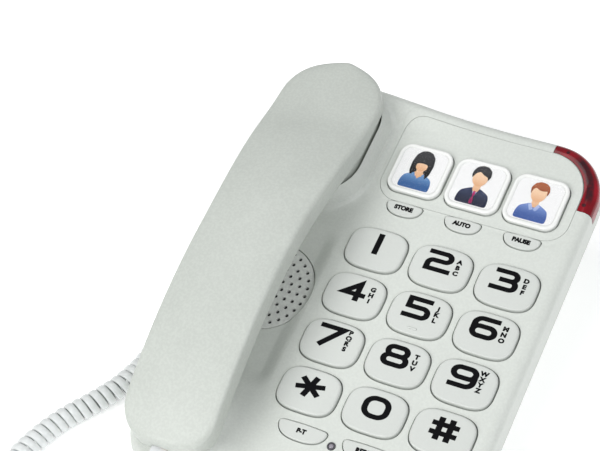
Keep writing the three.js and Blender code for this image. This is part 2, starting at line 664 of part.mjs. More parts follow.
FOOT_PLACES.forEach(([x, y], i) => {
  const place = new THREE.Vector3(x, y, 0).applyMatrix4(deckFrame);
  put(phone, `foot_${i + 1}`, drum(place.x, place.y, 0, FLOOR - GAP, FOOT.radius, 16), DARK);
});

const basePlug = new THREE.Group();
basePlug.position.set(BASE_JACK.x - 1, BASE_JACK.y, BASE_JACK.z);
basePlug.rotation.z = -Math.PI / 2;
deck.add(basePlug);
put(basePlug, "base_plug", plug(), CLEAR);

const handsetPlug = new THREE.Group();
handsetPlug.position.set(AXIS, HANDSET_JACK.y, HANDSET_JACK.z);
deck.add(handsetPlug);
put(handsetPlug, "handset_plug", plug(), CLEAR);
put(phone, "handset_cord", handsetCord(), CORD);

// The part's origin is under the middle of everything but the cord and its plugs.
const body = new THREE.Box3();
phone.updateMatrixWorld(true);
phone.traverse((piece) => {
  if (piece.isMesh && !/cord|plug$/.test(piece.name)) body.expandByObject(piece, true);
});
phone.position.set(-(body.min.x + body.max.x) / 2, -(body.min.y + body.max.y) / 2, -body.min.z);

export default phone;
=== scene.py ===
"""A corded desk telephone with large keys: its looks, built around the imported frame.

Pieces are drawn in millimetres. Most are drawn in the deck frame: x across, y up the sloping deck, z out of
its face, with the origin on the deck's face at the middle of the keypad. The cord is drawn on the table.
"""

import math

import bmesh
import bpy
import numpy as np
from bpy.props import FloatProperty, FloatVectorProperty, IntProperty, PointerProperty
from mathutils import Matrix, Vector
from mathutils.kdtree import KDTree


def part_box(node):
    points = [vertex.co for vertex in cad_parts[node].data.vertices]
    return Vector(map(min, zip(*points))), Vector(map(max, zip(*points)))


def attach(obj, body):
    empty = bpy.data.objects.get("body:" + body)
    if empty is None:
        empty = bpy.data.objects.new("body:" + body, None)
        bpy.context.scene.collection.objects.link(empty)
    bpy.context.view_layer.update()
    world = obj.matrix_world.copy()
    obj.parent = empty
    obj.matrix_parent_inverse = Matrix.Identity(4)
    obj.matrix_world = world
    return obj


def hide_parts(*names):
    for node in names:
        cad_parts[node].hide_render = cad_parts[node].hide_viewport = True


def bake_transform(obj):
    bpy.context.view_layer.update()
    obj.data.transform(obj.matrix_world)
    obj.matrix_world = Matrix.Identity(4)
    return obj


bl_info = {
    "name": "Large-key desk telephone",
    "version": (1, 0, 0),
    "blender": (4, 5, 0),
    "location": "View3D > Sidebar > Telephone",
    "description": "Builds a corded desk telephone with large keys and picture keys around its frame",
    "category": "Add Mesh",
}

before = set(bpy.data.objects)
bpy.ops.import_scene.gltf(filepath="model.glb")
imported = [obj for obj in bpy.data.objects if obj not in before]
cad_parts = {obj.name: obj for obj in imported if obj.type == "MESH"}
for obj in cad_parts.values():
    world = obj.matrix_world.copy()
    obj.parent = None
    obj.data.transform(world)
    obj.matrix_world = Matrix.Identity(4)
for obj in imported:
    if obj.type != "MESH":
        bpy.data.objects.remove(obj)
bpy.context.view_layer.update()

# ---------------------------------------------------------------- places in the frame

MM = 0.001
SLOPE = math.radians(9)
RISE = 40.3  # height of the keypad's middle above the table
FOOT_PLACE = (31, 96)  # the back right foot, on the deck

_foot = [(a + b) / 2 for a, b in zip(*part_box("foot_1"))]
_origin = Vector((_foot[0] - FOOT_PLACE[0] * MM, _foot[1] - FOOT_PLACE[1] * math.cos(SLOPE) * MM, 0))
TABLE = Matrix.Translation(_origin) @ Matrix.Scale(MM, 4)
DECK = TABLE @ Matrix.Translation((0, 0, RISE)) @ Matrix.Rotation(SLOPE, 4, "X")

BASE = {"left": -106, "right": 56, "front": -101, "back": 121.5, "corner": 27, "edge": 4.5, "parting": -15}
WALL = 2.5
FLOOR = 3.5  # height of the underside above the table
AXIS = -80.2  # the handset's middle line
EAR = {"x": AXIS, "y": 87, "half_x": 23.2, "half_y": 30, "corner": 19, "rim": 10, "clear": 1.3,
       "lean": 2.2}
MOUTH = {"x": AXIS, "y": -71, "half_x": 17.6, "half_y": 18.5, "corner": 14, "rim": 6, "clear": 0.5,
         "lean": 3.8}
WELL_FLOOR = -6
HOOK = (-5, 5, 97.5, 104.5)  # the hook's opening in the ear well, from the middle line and up the deck
GRILLE = {"x": -77.5, "y": 7, "radius": 23.5, "z": -3, "ring": 4.1, "rings": 5, "hole": 0.92}
PANEL = {"left": -47, "right": 48.6, "front": 67.3, "back": 114.8, "corner": 11, "lens_corner": 21}
LENS_LEFT = 27.3  # where the red lens ends along the back edge
LENS_FRONT = 6  # and how far it runs on past the round corner's middle, down the right side
LAMP = (-12.2, -60.5)
BLOCK_FOOT = -5  # underside of the handset's two ends
HANDSET = {"ear": 124, "mouth": -92, "ear_round": 26, "mouth_round": 17, "mouth_taper": 0.72,
           "drop": 8.2, "grip": 17}
HANDSET_JACK = (-97, 12)  # y and z where the handset's plug goes in
BASE_JACK = (-101, -15, -25)
SCREW = {"boss": 3.2, "bore": 1.6, "deep": 9, "head": 3.6, "shank": 2}
SCREW_PLACES = [(16.5, 56), (16.5, -84), (-46, -84), (-46, 100)]

DIALS = ["1", "2", "3", "4", "5", "6", "7", "8", "9", "star", "0", "hash"]
LETTERS = {
    "2": "ABC", "3": "DEF", "4": "GHI", "5": "JKL", "6": "MNO", "7": "PQRS", "8": "TUV", "9": "WXYZ",
}
MOON_KEYS = [
    ("store_key", "STORE", -29.3, 66.7, 18.4, 6.8), ("auto_key", "AUTO", 0.6, 66.7, 18.4, 6.8),
    ("pause_key", "PAUSE", 30.4, 66.7, 18.4, 6.8), ("pulse_tone_key", "P-T", -27.9, -55.3, 24.5, 8),
    ("redial_key", "REDIAL", 4.2, -55.3, 24.5, 8), ("flash_key", "FLASH", 32.3, -55.3, 24.5, 8),
]

MOON_CLEAR = 0.42  # gap round a half-moon key
MOON_PROUD = 0.95

# The cord's middle line on the table, from the base's plug round to the handset's.
CORD_ROUTE = [
    (-109.4, -10.9, 13.3), (-117, -13, 12.4), (-123, -21, 9.8), (-128.5, -39, 6.2), (-133.5, -52.5, 5.8),
    (-139.1, -62.3, 5.8), (-149.6, -78.3, 5.8), (-156.1, -92.9, 5.8), (-159.5, -108, 5.8),
    (-158.5, -124, 5.8), (-151, -139, 5.8), (-137, -149, 5.8), (-120, -152, 6), (-103.5, -148, 8.2),
    (-90.5, -138.5, 15), (-83.5, -127, 24.5), (-80.7, -116, 33.5), (-80.2, -105.6, 38.8),
]
ROUTE_STEPS = 1200
CORD_SIDES = 12


# ---------------------------------------------------------------- what a user would change


class PhoneKeys(bpy.types.PropertyGroup):
    width: FloatProperty(name="Key width", description="Dial key, across, in mm", default=28.9)
    depth: FloatProperty(name="Key depth", description="Dial key, up the deck, in mm", default=21.9)
    pitch_x: FloatProperty(name="Pitch across", description="Between key middles, in mm", default=33)
    pitch_y: FloatProperty(name="Pitch along", description="Between key middles, in mm", default=26)
    power: FloatProperty(name="Roundness", description="Superellipse power of a key", default=3.25)
    proud: FloatProperty(name="Proud", description="Height of a key above the deck, in mm", default=1.8)
    clear: FloatProperty(name="Gap", description="Gap round a key, in mm", default=0.58)
    stroke: FloatProperty(name="Stroke", description="Width of a printed stroke, in mm", default=2.35)
    picture: FloatProperty(name="Picture key", description="Side of a picture key, in mm", default=27.2)
    picture_pitch: FloatProperty(name="Picture pitch", description="Between picture keys, mm", default=29.6)


class PhoneHandset(bpy.types.PropertyGroup):
    ear_width: FloatProperty(name="Ear", description="Half width at the ear end, in mm", default=26)
    grip_width: FloatProperty(name="Grip", description="Half width at the grip, in mm", default=23.2)
    mouth_width: FloatProperty(name="Mouth", description="Half width at the mouth end, mm", default=23.2)
    top: FloatProperty(name="Top", description="Height of the arch over the deck, in mm", default=40)
    radius: FloatProperty(name="Arch radius", description="Radius of the arch, in mm", default=240)
    crown: FloatProperty(name="Crown", description="Fall of the top from middle to edge, mm", default=2.2)
    edge: FloatProperty(name="Edge", description="Radius of the top's edge, in mm", default=1.9)


class PhoneCord(bpy.types.PropertyGroup):
    width: FloatProperty(name="Width", description="Width of the flat cord, in mm", default=4)
    thick: FloatProperty(name="Thickness", description="Thickness of the flat cord, in mm", default=2.6)
    outside: FloatProperty(name="Coil radius", description="Outside radius of the coil, mm", default=5.7)
    pitch: FloatProperty(name="Pitch", description="From one turn to the next, in mm", default=4.4)
    steps: IntProperty(name="Steps", description="Steps in one turn", default=22)


class PhoneFinish(bpy.types.PropertyGroup):
    handset: FloatVectorProperty(
        name="Handset", description="Moulded handset", subtype="COLOR", default=(0.53, 0.56, 0.52))
    case: FloatVectorProperty(
        name="Case", description="Moulded case", subtype="COLOR", default=(0.635, 0.665, 0.625))
    key: FloatVectorProperty(
        name="Keys", description="Key caps", subtype="COLOR", default=(0.60, 0.625, 0.595))
    print: FloatVectorProperty(
        name="Print", description="Printed digits", subtype="COLOR", default=(0.004, 0.004, 0.005))
    lens: FloatVectorProperty(
        name="Lens", description="Ringer lens", subtype="COLOR", default=(0.22, 0.003, 0.010))
    cord: FloatVectorProperty(
        name="Cord", description="Coiled cord", subtype="COLOR", default=(0.71, 0.735, 0.73))
    grille: FloatVectorProperty(
        name="Grille", description="Ringer grille", subtype="COLOR", default=(0.66, 0.68, 0.65))


class PhoneStage(bpy.types.PropertyGroup):
    lens: FloatProperty(name="Lens", description="Focal length", unit="CAMERA", default=111.5)
    key_power: FloatProperty(name="Main light", description="Main light", subtype="POWER", default=12)
    top_power: FloatProperty(name="Top light", description="Top light", subtype="POWER", default=3)
    fill_power: FloatProperty(name="Fill light", description="Fill light", subtype="POWER", default=6.5)
    sky: FloatProperty(name="Surroundings", description="Strength of the pale room", default=0.36)


# ---------------------------------------------------------------- outlines and surfaces


def smooth(t):
    """0 to 1 with a soft start and a soft end."""
    t = np.clip(t, 0, 1)
    return t * t * (3 - 2 * t)


def arc(x, y, radius, start, end, count=10):
    """Points on an arc, its angles in degrees."""
    angles = np.radians(np.linspace(start, end, count))
    return [(x + radius * math.cos(a), y + radius * math.sin(a)) for a in angles]


def circle(x, y, radius, count=96):
    return np.array(arc(x, y, radius, 0, 360, count + 1)[:-1])


def unit(vectors):
    """The rows of an array, each made one long."""
    return vectors / np.linalg.norm(vectors, axis=1, keepdims=True)


def distances_along(line):
    """How far along the line each of its points lies."""
    return np.concatenate([[0], np.cumsum(np.linalg.norm(np.diff(line, axis=0), axis=1))])


def read_between(places, grid, values):
    """Each column of values, read at places between those of the grid."""
    return np.stack([np.interp(places, grid, column) for column in values.T], 1)


def resampled(outline, count):
    """Evenly spaced points round a closed outline, from its first point."""
    line = np.array(list(outline) + [outline[0]], float)
    along = distances_along(line)
    return read_between(np.linspace(0, along[-1], count, endpoint=False), along, line)


def rounded(x, y, half_x, half_y, corner, count=96):
    """A rectangle with round corners."""
    points = []
    for i, (sx, sy) in enumerate([(1, 1), (-1, 1), (-1, -1), (1, -1)]):
        points += arc(x + sx * (half_x - corner), y + sy * (half_y - corner), corner, 90 * i, 90 * i + 90)
    return resampled(points, count)


def superellipse(x, y, half_x, half_y, power, count=80):
    angles = 2 * np.pi * (np.arange(count) + 0.5) / count
    cos, sin = (np.sign(v) * np.abs(v) ** (2 / power) for v in (np.cos(angles), np.sin(angles)))
    return np.stack([x + half_x * cos, y + half_y * sin], 1)


def grown(outline, distance):
    """The outline moved out along its own normals."""
    along = unit(np.roll(outline, -1, 0) - np.roll(outline, 1, 0))
    return outline + distance * np.stack([along[:, 1], -along[:, 0]], 1)


def softened(outline, rounds):
    """The outline with each point drawn towards its two neighbours, some times over."""
    for _ in range(rounds):
        outline = (np.roll(outline, 1, 0) + 2 * outline + np.roll(outline, -1, 0)) / 4
    return outline


def at_height(outline, z):
    return [(x, y, z) for x, y in outline]


def profile(outline, steps):
    """Rings for a loft: at each step, the outline grown by a distance and at a height."""
    return [at_height(grown(outline, distance), z) for distance, z in steps]


def turned_edge(z, across, up, angles=(30, 60, 90)):
    """Steps of a profile round a quarter turn that starts at height z."""
    turns = [math.radians(angle) for angle in angles]
    return [(across * (1 - math.cos(a)), z + up * math.sin(a)) for a in turns]


def hole_places(rings, spacing):
    """The middles of holes: one in the middle and six more in each ring round it."""
    places = [(0, 0)]
    for ring in range(1, rings + 1):
        for k in range(6 * ring):
            a = math.pi * k / (3 * ring)
            places.append((spacing * ring * math.cos(a), spacing * ring * math.sin(a)))
    return places


def edge_distance(end, x, y):
    """Distance to the edge of a rounded rectangle, negative inside it."""
    dx = np.abs(x - end["x"]) - end["half_x"] + end["corner"]
    dy = np.abs(y - end["y"]) - end["half_y"] + end["corner"]
    outer = np.hypot(np.maximum(dx, 0), np.maximum(dy, 0))
    return outer + np.minimum(np.maximum(dx, dy), 0) - end["corner"]


def base_block(grow=0):
    """The base's plan, as a rounded rectangle like EAR and MOUTH."""
    return {
        "x": (BASE["left"] + BASE["right"]) / 2, "y": (BASE["front"] + BASE["back"]) / 2,
        "half_x": (BASE["right"] - BASE["left"]) / 2 + grow,
        "half_y": (BASE["back"] - BASE["front"]) / 2 + grow, "corner": BASE["corner"] + grow,
    }


def block_outline(block, grow=0, count=96):
    return rounded(
        block["x"], block["y"], block["half_x"] + grow, block["half_y"] + grow, block["corner"] + grow, count
    )


def collar(end, x, y, reach):
    """Height of the collar round a well: full at the rim, then a hollow fall over its reach."""
    away = np.maximum(edge_distance(end, x, y) - end["clear"], 0)
    return end["rim"] * (1 - np.clip(away / reach, 0, 1)) ** 2


# The ear collar's near side: a narrow lip, a steep wall and a small hollow at its toe.
WALL_AWAY = [0, 0.3, 0.8, 1.2, 2, 3, 3.5, 3.9, 4.3, 4.7, 5.2, 5.9, 7.2, 9]
WALL_HEIGHT = [1, 0.985, 0.93, 0.84, 0.64, 0.37, 0.24, 0.2, 0.215, 0.19, 0.09, 0.045, 0.014, 0]


def steep_collar(end, x, y):
    """Height of the collar on the side where its wall is steep."""
    away = np.maximum(edge_distance(end, x, y) - end["clear"], 0)
    return end["rim"] * np.interp(away, WALL_AWAY, WALL_HEIGHT)


def quarter_fall(into, radius):
    """How far a round edge falls below the face, at a distance in from the edge."""
    into = np.clip(into, 0, radius)
    return radius - np.sqrt(np.maximum(radius**2 - (radius - into) ** 2, 0))


def valley(x, y):
    """The shallow hollow round the ringer's grille."""
    return GRILLE["z"] * smooth((-52 - x) / 9) * smooth((46 - y) / 12) * smooth((y + 46) / 12)


def deck_height(x, y):
    """The deck's face with its two collars: steep on the keys' side, spread out on the outer side."""
    outside = smooth((AXIS + 4 - x) / 12)
    sweep = smooth((y - 104) / 14)
    ear_near = steep_collar(EAR, x, y) * (1 - sweep) + collar(EAR, x, y, 69) * sweep
    ear = ear_near * (1 - outside) + collar(EAR, x, y, 90) * outside
    mouth = collar(MOUTH, x, y, 18) * (1 - outside) + collar(MOUTH, x, y, 60) * outside
    return np.maximum(ear, mouth) + valley(x, y)


GROOVE = {"x": 1.2, "y": 93, "half_x": 49.8, "half_y": 27.5, "corner": 12, "deep": 0.3, "wide": 0.55}


def panel_groove(x, y):
    """Depth of the soft groove that runs round the picture panel and through the half-moon keys."""
    return GROOVE["deep"] * np.exp(-((edge_distance(GROOVE, x, y) / GROOVE["wide"]) ** 2))


def deck_face(x, y):
    into = -edge_distance(base_block(), x, y)
    return deck_height(x, y) - panel_groove(x, y) - quarter_fall(into, BASE["edge"])


# Distances from an edge at which a grid has its places, so that round edges come out smooth.
EDGE_STEPS = np.array([0, 0.12, 0.4, 0.85, 1.5, 2.3, 3.3, 4.5])


def graded(low, high, spacing, fine=(0, 0)):
    """Places from low to high, close together near both ends and twice as close in the fine stretch."""
    first, last = low + EDGE_STEPS[-1], high - EDGE_STEPS[-1]
    at = np.linspace(first, last, 4000)
    weight = np.where((at > fine[0]) & (at < fine[1]), 2.2, 1) / spacing
    total = np.concatenate([[0], np.cumsum((weight[1:] + weight[:-1]) / 2 * np.diff(at))])
    count = max(int(total[-1]), 2)
    inner = np.interp(np.linspace(0, total[-1], count + 1)[1:-1], total, at)
    return np.concatenate([low + EDGE_STEPS, inner, high - EDGE_STEPS[::-1]])


# ---------------------------------------------------------------- modelling steps


def deselect():
    if bpy.context.mode != "OBJECT":
        bpy.ops.object.mode_set(mode="OBJECT")
    bpy.ops.object.select_all(action="DESELECT")


def activate(obj):
    deselect()
    obj.select_set(True)
    bpy.context.view_layer.objects.active = obj


def coordinates(obj):
    flat = np.empty(len(obj.data.vertices) * 3)
    obj.data.vertices.foreach_get("co", flat)
    return flat.reshape(-1, 3)


def set_coordinates(obj, places):
    obj.data.vertices.foreach_set("co", np.asarray(places, float).ravel())
    obj.data.update()


def face_outward():
    """Turns all faces of the mesh in edit mode outward, and leaves edit mode."""
    bpy.ops.mesh.select_all(action="SELECT")
    bpy.ops.mesh.normals_make_consistent(inside=False)
    bpy.ops.object.mode_set(mode="OBJECT")


def loft(name, rings, cap=True):
    """A piece through rings with equal numbers of points, closed at both ends if cap is set."""
    deselect()
    bpy.ops.mesh.primitive_circle_add(vertices=len(rings[0]), radius=1, fill_type="NGON")
    obj = bpy.context.object
    obj.name = obj.data.name = name
    bpy.ops.object.mode_set(mode="EDIT")
    work = bmesh.from_edit_mesh(obj.data)
    order = work.verts.layers.int.new("order")
    for i, vertex in enumerate(work.verts):
        vertex[order] = i
        vertex.co = rings[0][i]
    for ring in rings[1:]:
        bpy.ops.mesh.extrude_region_move()
        work = bmesh.from_edit_mesh(obj.data)
        order = work.verts.layers.int["order"]
        for vertex in work.verts:
            if vertex.select:
                vertex.co = ring[vertex[order]]
    work.verts.layers.int.remove(order)
    if not cap:
        bpy.ops.mesh.delete(type="ONLY_FACE")
    face_outward()
    return obj


def slab(name, rows, columns, left, right, low, high):
    """A closed body over a plan, with its lower and upper face given by low and high.

    left and right give the plan's edges at a row, and columns the places between two such edges.
    """
    deselect()
    across = len(columns(0.0, 1.0)) - 1
    along = len(rows) - 1
    bpy.ops.mesh.primitive_grid_add(x_subdivisions=across, y_subdivisions=along, size=2)
    obj = bpy.context.object
    obj.name = obj.data.name = name
    place = coordinates(obj)
    i = np.rint((place[:, 0] + 1) / 2 * across).astype(int)
    j = np.rint((place[:, 1] + 1) / 2 * along).astype(int)
    lines = np.array([columns(left(y), right(y)) for y in rows])
    place[:, 0] = lines[j, i]
    place[:, 1] = np.asarray(rows)[j]
    place[:, 2] = high(place[:, 0], place[:, 1])
    set_coordinates(obj, place)
    bpy.ops.object.mode_set(mode="EDIT")
    bpy.ops.mesh.select_all(action="SELECT")
    bpy.ops.mesh.duplicate()
    bpy.ops.mesh.flip_normals()
    work = bmesh.from_edit_mesh(obj.data)
    under = [vertex for vertex in work.verts if vertex.select]
    heights = low(np.array([v.co.x for v in under]), np.array([v.co.y for v in under]))
    for vertex, height in zip(under, np.broadcast_to(heights, len(under))):
        vertex.co.z = height
    bmesh.update_edit_mesh(obj.data)
    bpy.ops.mesh.select_all(action="DESELECT")
    bpy.ops.mesh.select_mode(type="EDGE")
    bpy.ops.mesh.select_non_manifold(extend=False)
    bpy.ops.mesh.bridge_edge_loops()
    bpy.ops.mesh.select_mode(type="VERT")
    bpy.ops.object.mode_set(mode="OBJECT")
    return obj


def join(objects):
    deselect()
    for obj in objects:
        obj.select_set(True)
    bpy.context.view_layer.objects.active = objects[0]
    if len(objects) > 1:
        bpy.ops.object.join()
    return objects[0]


def combine(obj, tool, operation="DIFFERENCE"):
    """Cuts the tool out of the piece, joins it on or keeps what they share, and removes the tool."""
    activate(obj)
    cut = obj.modifiers.new("combine", "BOOLEAN")
    cut.operation = operation
    cut.solver = "MANIFOLD"
    cut.object = tool
    bpy.ops.object.modifier_apply(modifier=cut.name)
    bpy.data.objects.remove(tool)
    if not obj.data.polygons:
        raise RuntimeError(f"{obj.name} came out empty")
    return obj


def copy_of(obj, name):
    twin = obj.copy()
    twin.data = obj.data.copy()
    twin.name = twin.data.name = name
    bpy.context.collection.objects.link(twin)
    return twin


def soften(obj, angle=32):
    """Smooth shading with flat faces kept flat."""
    activate(obj)
    bpy.ops.object.shade_smooth_by_angle(angle=math.radians(angle))
    weighted = obj.modifiers.new("weighted", "WEIGHTED_NORMAL")
    weighted.keep_sharp = True
    bpy.ops.object.modifier_apply(modifier=weighted.name)


def finish_piece(obj, name, finish, body, slot, frame_place=DECK, nodes=(), angle=32, shade=True):
    """Puts the piece in its place, gives it its finish and hands it to the frame.

    finish is a key of FINISHES or a material.
    """
    activate(obj)
    obj.name = obj.data.name = name
    if shade:
        soften(obj, angle)
    obj.matrix_world = frame_place
    bpy.ops.object.transform_apply(location=True, rotation=True, scale=True)
    obj.data.materials.clear()
    obj.data.materials.append(FINISHES[finish] if isinstance(finish, str) else finish)
    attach(obj, body)
    if nodes:
        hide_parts(*nodes)
    return obj


def cylinder(x, y, low, high, radius, sides=24):
    deselect()
    bpy.ops.mesh.primitive_cylinder_add(
        vertices=sides, radius=radius, depth=high - low, location=(x, y, (low + high) / 2)
    )
    obj = bpy.context.object
    bpy.ops.object.transform_apply(location=True, rotation=True, scale=True)
    return obj


def box(x0, x1, y0, y1, z0, z1, bevel=0):
    deselect()
    bpy.ops.mesh.primitive_cube_add(size=1, location=((x0 + x1) / 2, (y0 + y1) / 2, (z0 + z1) / 2))
    obj = bpy.context.object
    obj.scale = (x1 - x0, y1 - y0, z1 - z0)
    bpy.ops.object.transform_apply(location=True, rotation=True, scale=True)
    if bevel:
        bpy.ops.object.mode_set(mode="EDIT")
        bpy.ops.mesh.select_all(action="SELECT")
        bpy.ops.mesh.bevel(offset=bevel, segments=3, affect="EDGES")
        bpy.ops.object.mode_set(mode="OBJECT")
    return obj


def post(x, y, low, high, radius, sides=24):
    """An upright drum under the deck point, between two heights above the table."""
    return upright(cylinder(x, y * math.cos(SLOPE), low, high, radius, sides))


def upright(obj):
    """Turns a piece drawn level above the table into the deck's frame."""
    obj.data.transform(Matrix.Rotation(-SLOPE, 4, "X") @ Matrix.Translation((0, 0, -RISE)))
    return obj


# ---------------------------------------------------------------- materials


class Value:
    """A shader socket that Python's own operators work on."""

    def __init__(self, finish, socket):
        self.finish = finish
        self.socket = socket

    def math(self, operation, *values):
        inputs = dict(enumerate([self, *values]))
        made = self.finish.node("ShaderNodeMath", {"operation": operation}, inputs)
        return Value(self.finish, made.outputs[0])

    def __add__(self, other):
        return self.math("ADD", other)

    def __mul__(self, other):
        return self.math("MULTIPLY", other)

    def __sub__(self, other):
        return self.math("SUBTRACT", other)

    def power(self, exponent):
        return self.math("POWER", exponent)

    def size(self):
        return self.math("ABSOLUTE")

    def step(self, low, high):
        """0 below low, 1 above high, and a smooth change between them."""
        made = self.finish.node(
            "ShaderNodeMapRange", {"interpolation_type": "SMOOTHSTEP"},
            {"Value": self, "From Min": low, "From Max": high},
        )
        return Value(self.finish, made.outputs[0])


class Finish:
    """A material with one Principled shader, and the nodes that feed it."""

    def __init__(self, name, colour, roughness, **sockets):
        self.material = bpy.data.materials.new(name)
        self.material.use_nodes = True
        self.tree = self.material.node_tree
        self.tree.nodes.clear()
        inputs = {"Base Color": (*colour, 1), "Roughness": roughness}
        for key, value in sockets.items():
            inputs[key.replace("_", " ").title().replace("Ior", "IOR")] = value
        self.shader = self.node("ShaderNodeBsdfPrincipled", {}, inputs)
        self.node("ShaderNodeOutputMaterial", {}, {"Surface": Value(self, self.shader.outputs[0])})

    def node(self, kind, settings, inputs):
        """A new node with its settings, its inputs linked to a Value or set to a number."""
        made = self.tree.nodes.new(kind)
        for key, value in settings.items():
            setattr(made, key, value)
        for key, value in inputs.items():
            if isinstance(value, Value):
                self.tree.links.new(value.socket, made.inputs[key])
            else:
                made.inputs[key].default_value = value
        return made

    def place(self, offset=(0, 0, 0), turn=(0, 0, 0), scale=(1, 1, 1)):
        """Object coordinates, centred and turned."""
        where = self.node("ShaderNodeTexCoord", {}, {})
        inputs = {"Vector": Value(self, where.outputs["Object"]), "Location": offset, "Rotation": turn,
                  "Scale": scale}
        made = self.node("ShaderNodeMapping", {"vector_type": "TEXTURE"}, inputs)
        return Value(self, made.outputs[0])

    def parts(self, vector):
        made = self.node("ShaderNodeSeparateXYZ", {}, {"Vector": vector})
        return [Value(self, made.outputs[i]) for i in range(3)]

    def noise(self, vector, scale, detail=2.0, roughness=0.5):
        inputs = {"Vector": vector, "Scale": scale, "Detail": detail, "Roughness": roughness}
        made = self.node("ShaderNodeTexNoise", {}, inputs)
        return Value(self, made.outputs[0])

    def mix(self, factor, first, second):
        made = self.node("ShaderNodeMix", {"data_type": "RGBA"}, {0: factor, 6: first, 7: second})
        return Value(self, made.outputs[2])

    def feed(self, socket, value):
        self.tree.links.new(value.socket, self.shader.inputs[socket])

    def deck_place(self):
        """Millimetres in the deck's frame."""
        return self.place(tuple(DECK.to_translation()), (SLOPE, 0, 0), (MM, MM, MM))

    def bump(self, height, distance):
        inputs = {"Height": height, "Distance": distance, "Strength": 1.0}
        made = self.node("ShaderNodeBump", {}, inputs)
        self.feed("Normal", Value(self, made.outputs[0]))


def shade(colour, factor):
    return tuple(channel * factor for channel in colour[:3]) + (1,)


def plastic(name, colour, roughness, grain=0.00003, grain_scale=1500, mottle=0.035, coat=0.0):
    """Moulded plastic: a fine sparked grain, faint mottling and uneven gloss."""
    finish = Finish(name, colour, roughness, coat_weight=coat, coat_roughness=0.2)
    where = finish.place()
    fine = finish.noise(where, grain_scale, 2, 0.6)
    broad = finish.noise(where, 60, 3, 0.55)
    speck = finish.noise(where, grain_scale * 0.55, 1, 0.5).step(0.35, 0.7)
    tone = broad * 0.6 + speck * 0.4
    low, high = shade(colour, 1 - mottle), shade(colour, 1 + mottle)
    finish.feed("Base Color", finish.mix(tone, low, high))
    finish.feed("Roughness", broad * 0.1 + fine * 0.06 + (roughness - 0.08))
    finish.bump(fine, grain)
    return finish.material


def plain(name, colour, roughness, scale=400, depth=0.00001, **sockets):
    """A simple finish with a little unevenness in its tone and surface."""
    finish = Finish(name, colour, roughness, **sockets)
    uneven = finish.noise(finish.place(), scale, 2, 0.5)
    finish.feed("Base Color", finish.mix(uneven, shade(colour, 0.93), shade(colour, 1.07)))
    finish.bump(uneven, depth)
    return finish.material


def lens_material(colour):
    """Clear red plastic over dark parts: a long dark shape at the corner and two small bosses."""
    finish = Finish("lens_red", colour, 0.12, coat_weight=0.15, coat_roughness=0.05, specular_ior_level=0.3)
    where = finish.deck_place()
    x, y, _ = finish.parts(where)
    corner = (PANEL["right"] - PANEL["lens_corner"], PANEL["back"] - PANEL["lens_corner"])
    dx, dy = x - corner[0], y - corner[1]
    away = (dx.power(2) + dy.power(2)).power(0.5)
    ridge = (away - 24.3).size().step(2.4, 1.1)
    turn = dy.math("ARCTAN2", dx)
    along = (turn - 0.52).size().step(0.62, 0.42)
    blotch = finish.noise(where, 0.35, 3, 0.6).step(0.2, 0.75)
    dark = ridge * along * (blotch * 0.35 + 0.65)
    for boss_x, boss_y, radius in ((34, 117, 1.2), (51, 91.5, 1.3)):
        apart = ((x - boss_x).power(2) + (y - boss_y).power(2)).power(0.5)
        dark = dark.math("MAXIMUM", apart.step(radius, radius * 0.55) * 0.9)
    glow = finish.noise(where, 0.12, 2, 0.5).step(0.3, 0.75)
    bright = finish.mix(glow, shade(colour, 0.8), shade(colour, 1.5))
    finish.feed("Base Color", finish.mix(dark, bright, (0.03, 0.008, 0.012, 1)))
    return finish.material


def gradient_material(name, low_colour, high_colour, low, high):
    """Printed ink that changes from one colour to another up the deck."""
    finish = Finish(name, low_colour, 0.6, specular_ior_level=0.05)
    _, y, _ = finish.parts(finish.deck_place())
    finish.feed("Base Color", finish.mix(y.step(low, high), (*low_colour, 1), (*high_colour, 1)))
    return finish.material


def clear_material(name, colour, alpha):
    return Finish(name, colour, 0.06, alpha=alpha, ior=1.49).material


def steel_material():
    """Turned steel with fine streaks."""
    finish = Finish("screw_steel", (0.55, 0.56, 0.58), 0.32, metallic=1.0)
    streak = finish.noise(finish.place(), 900, 3, 0.6)
    finish.feed("Roughness", streak * 0.2 + 0.24)
    finish.bump(streak, 0.000008)
    return finish.material


def board_material():
    """Green solder mask with lighter tracks."""
    finish = Finish("circuit_board", (0.03, 0.14, 0.05), 0.35, coat_weight=0.3)
    where = finish.place()
    tracks = finish.node(
        "ShaderNodeTexBrick", {}, {"Vector": where, "Scale": 260.0, "Mortar Size": 0.06})
    mask = Value(finish, tracks.outputs["Fac"])
    finish.feed("Base Color", finish.mix(mask, (0.02, 0.11, 0.04, 1), (0.06, 0.23, 0.09, 1)))
    finish.bump(mask, 0.00003)
    return finish.material


FINISHES = {}  # materials by their short names
DECK_COPIES = {}  # whole copies of the deck, kept for the pieces that are cut from it


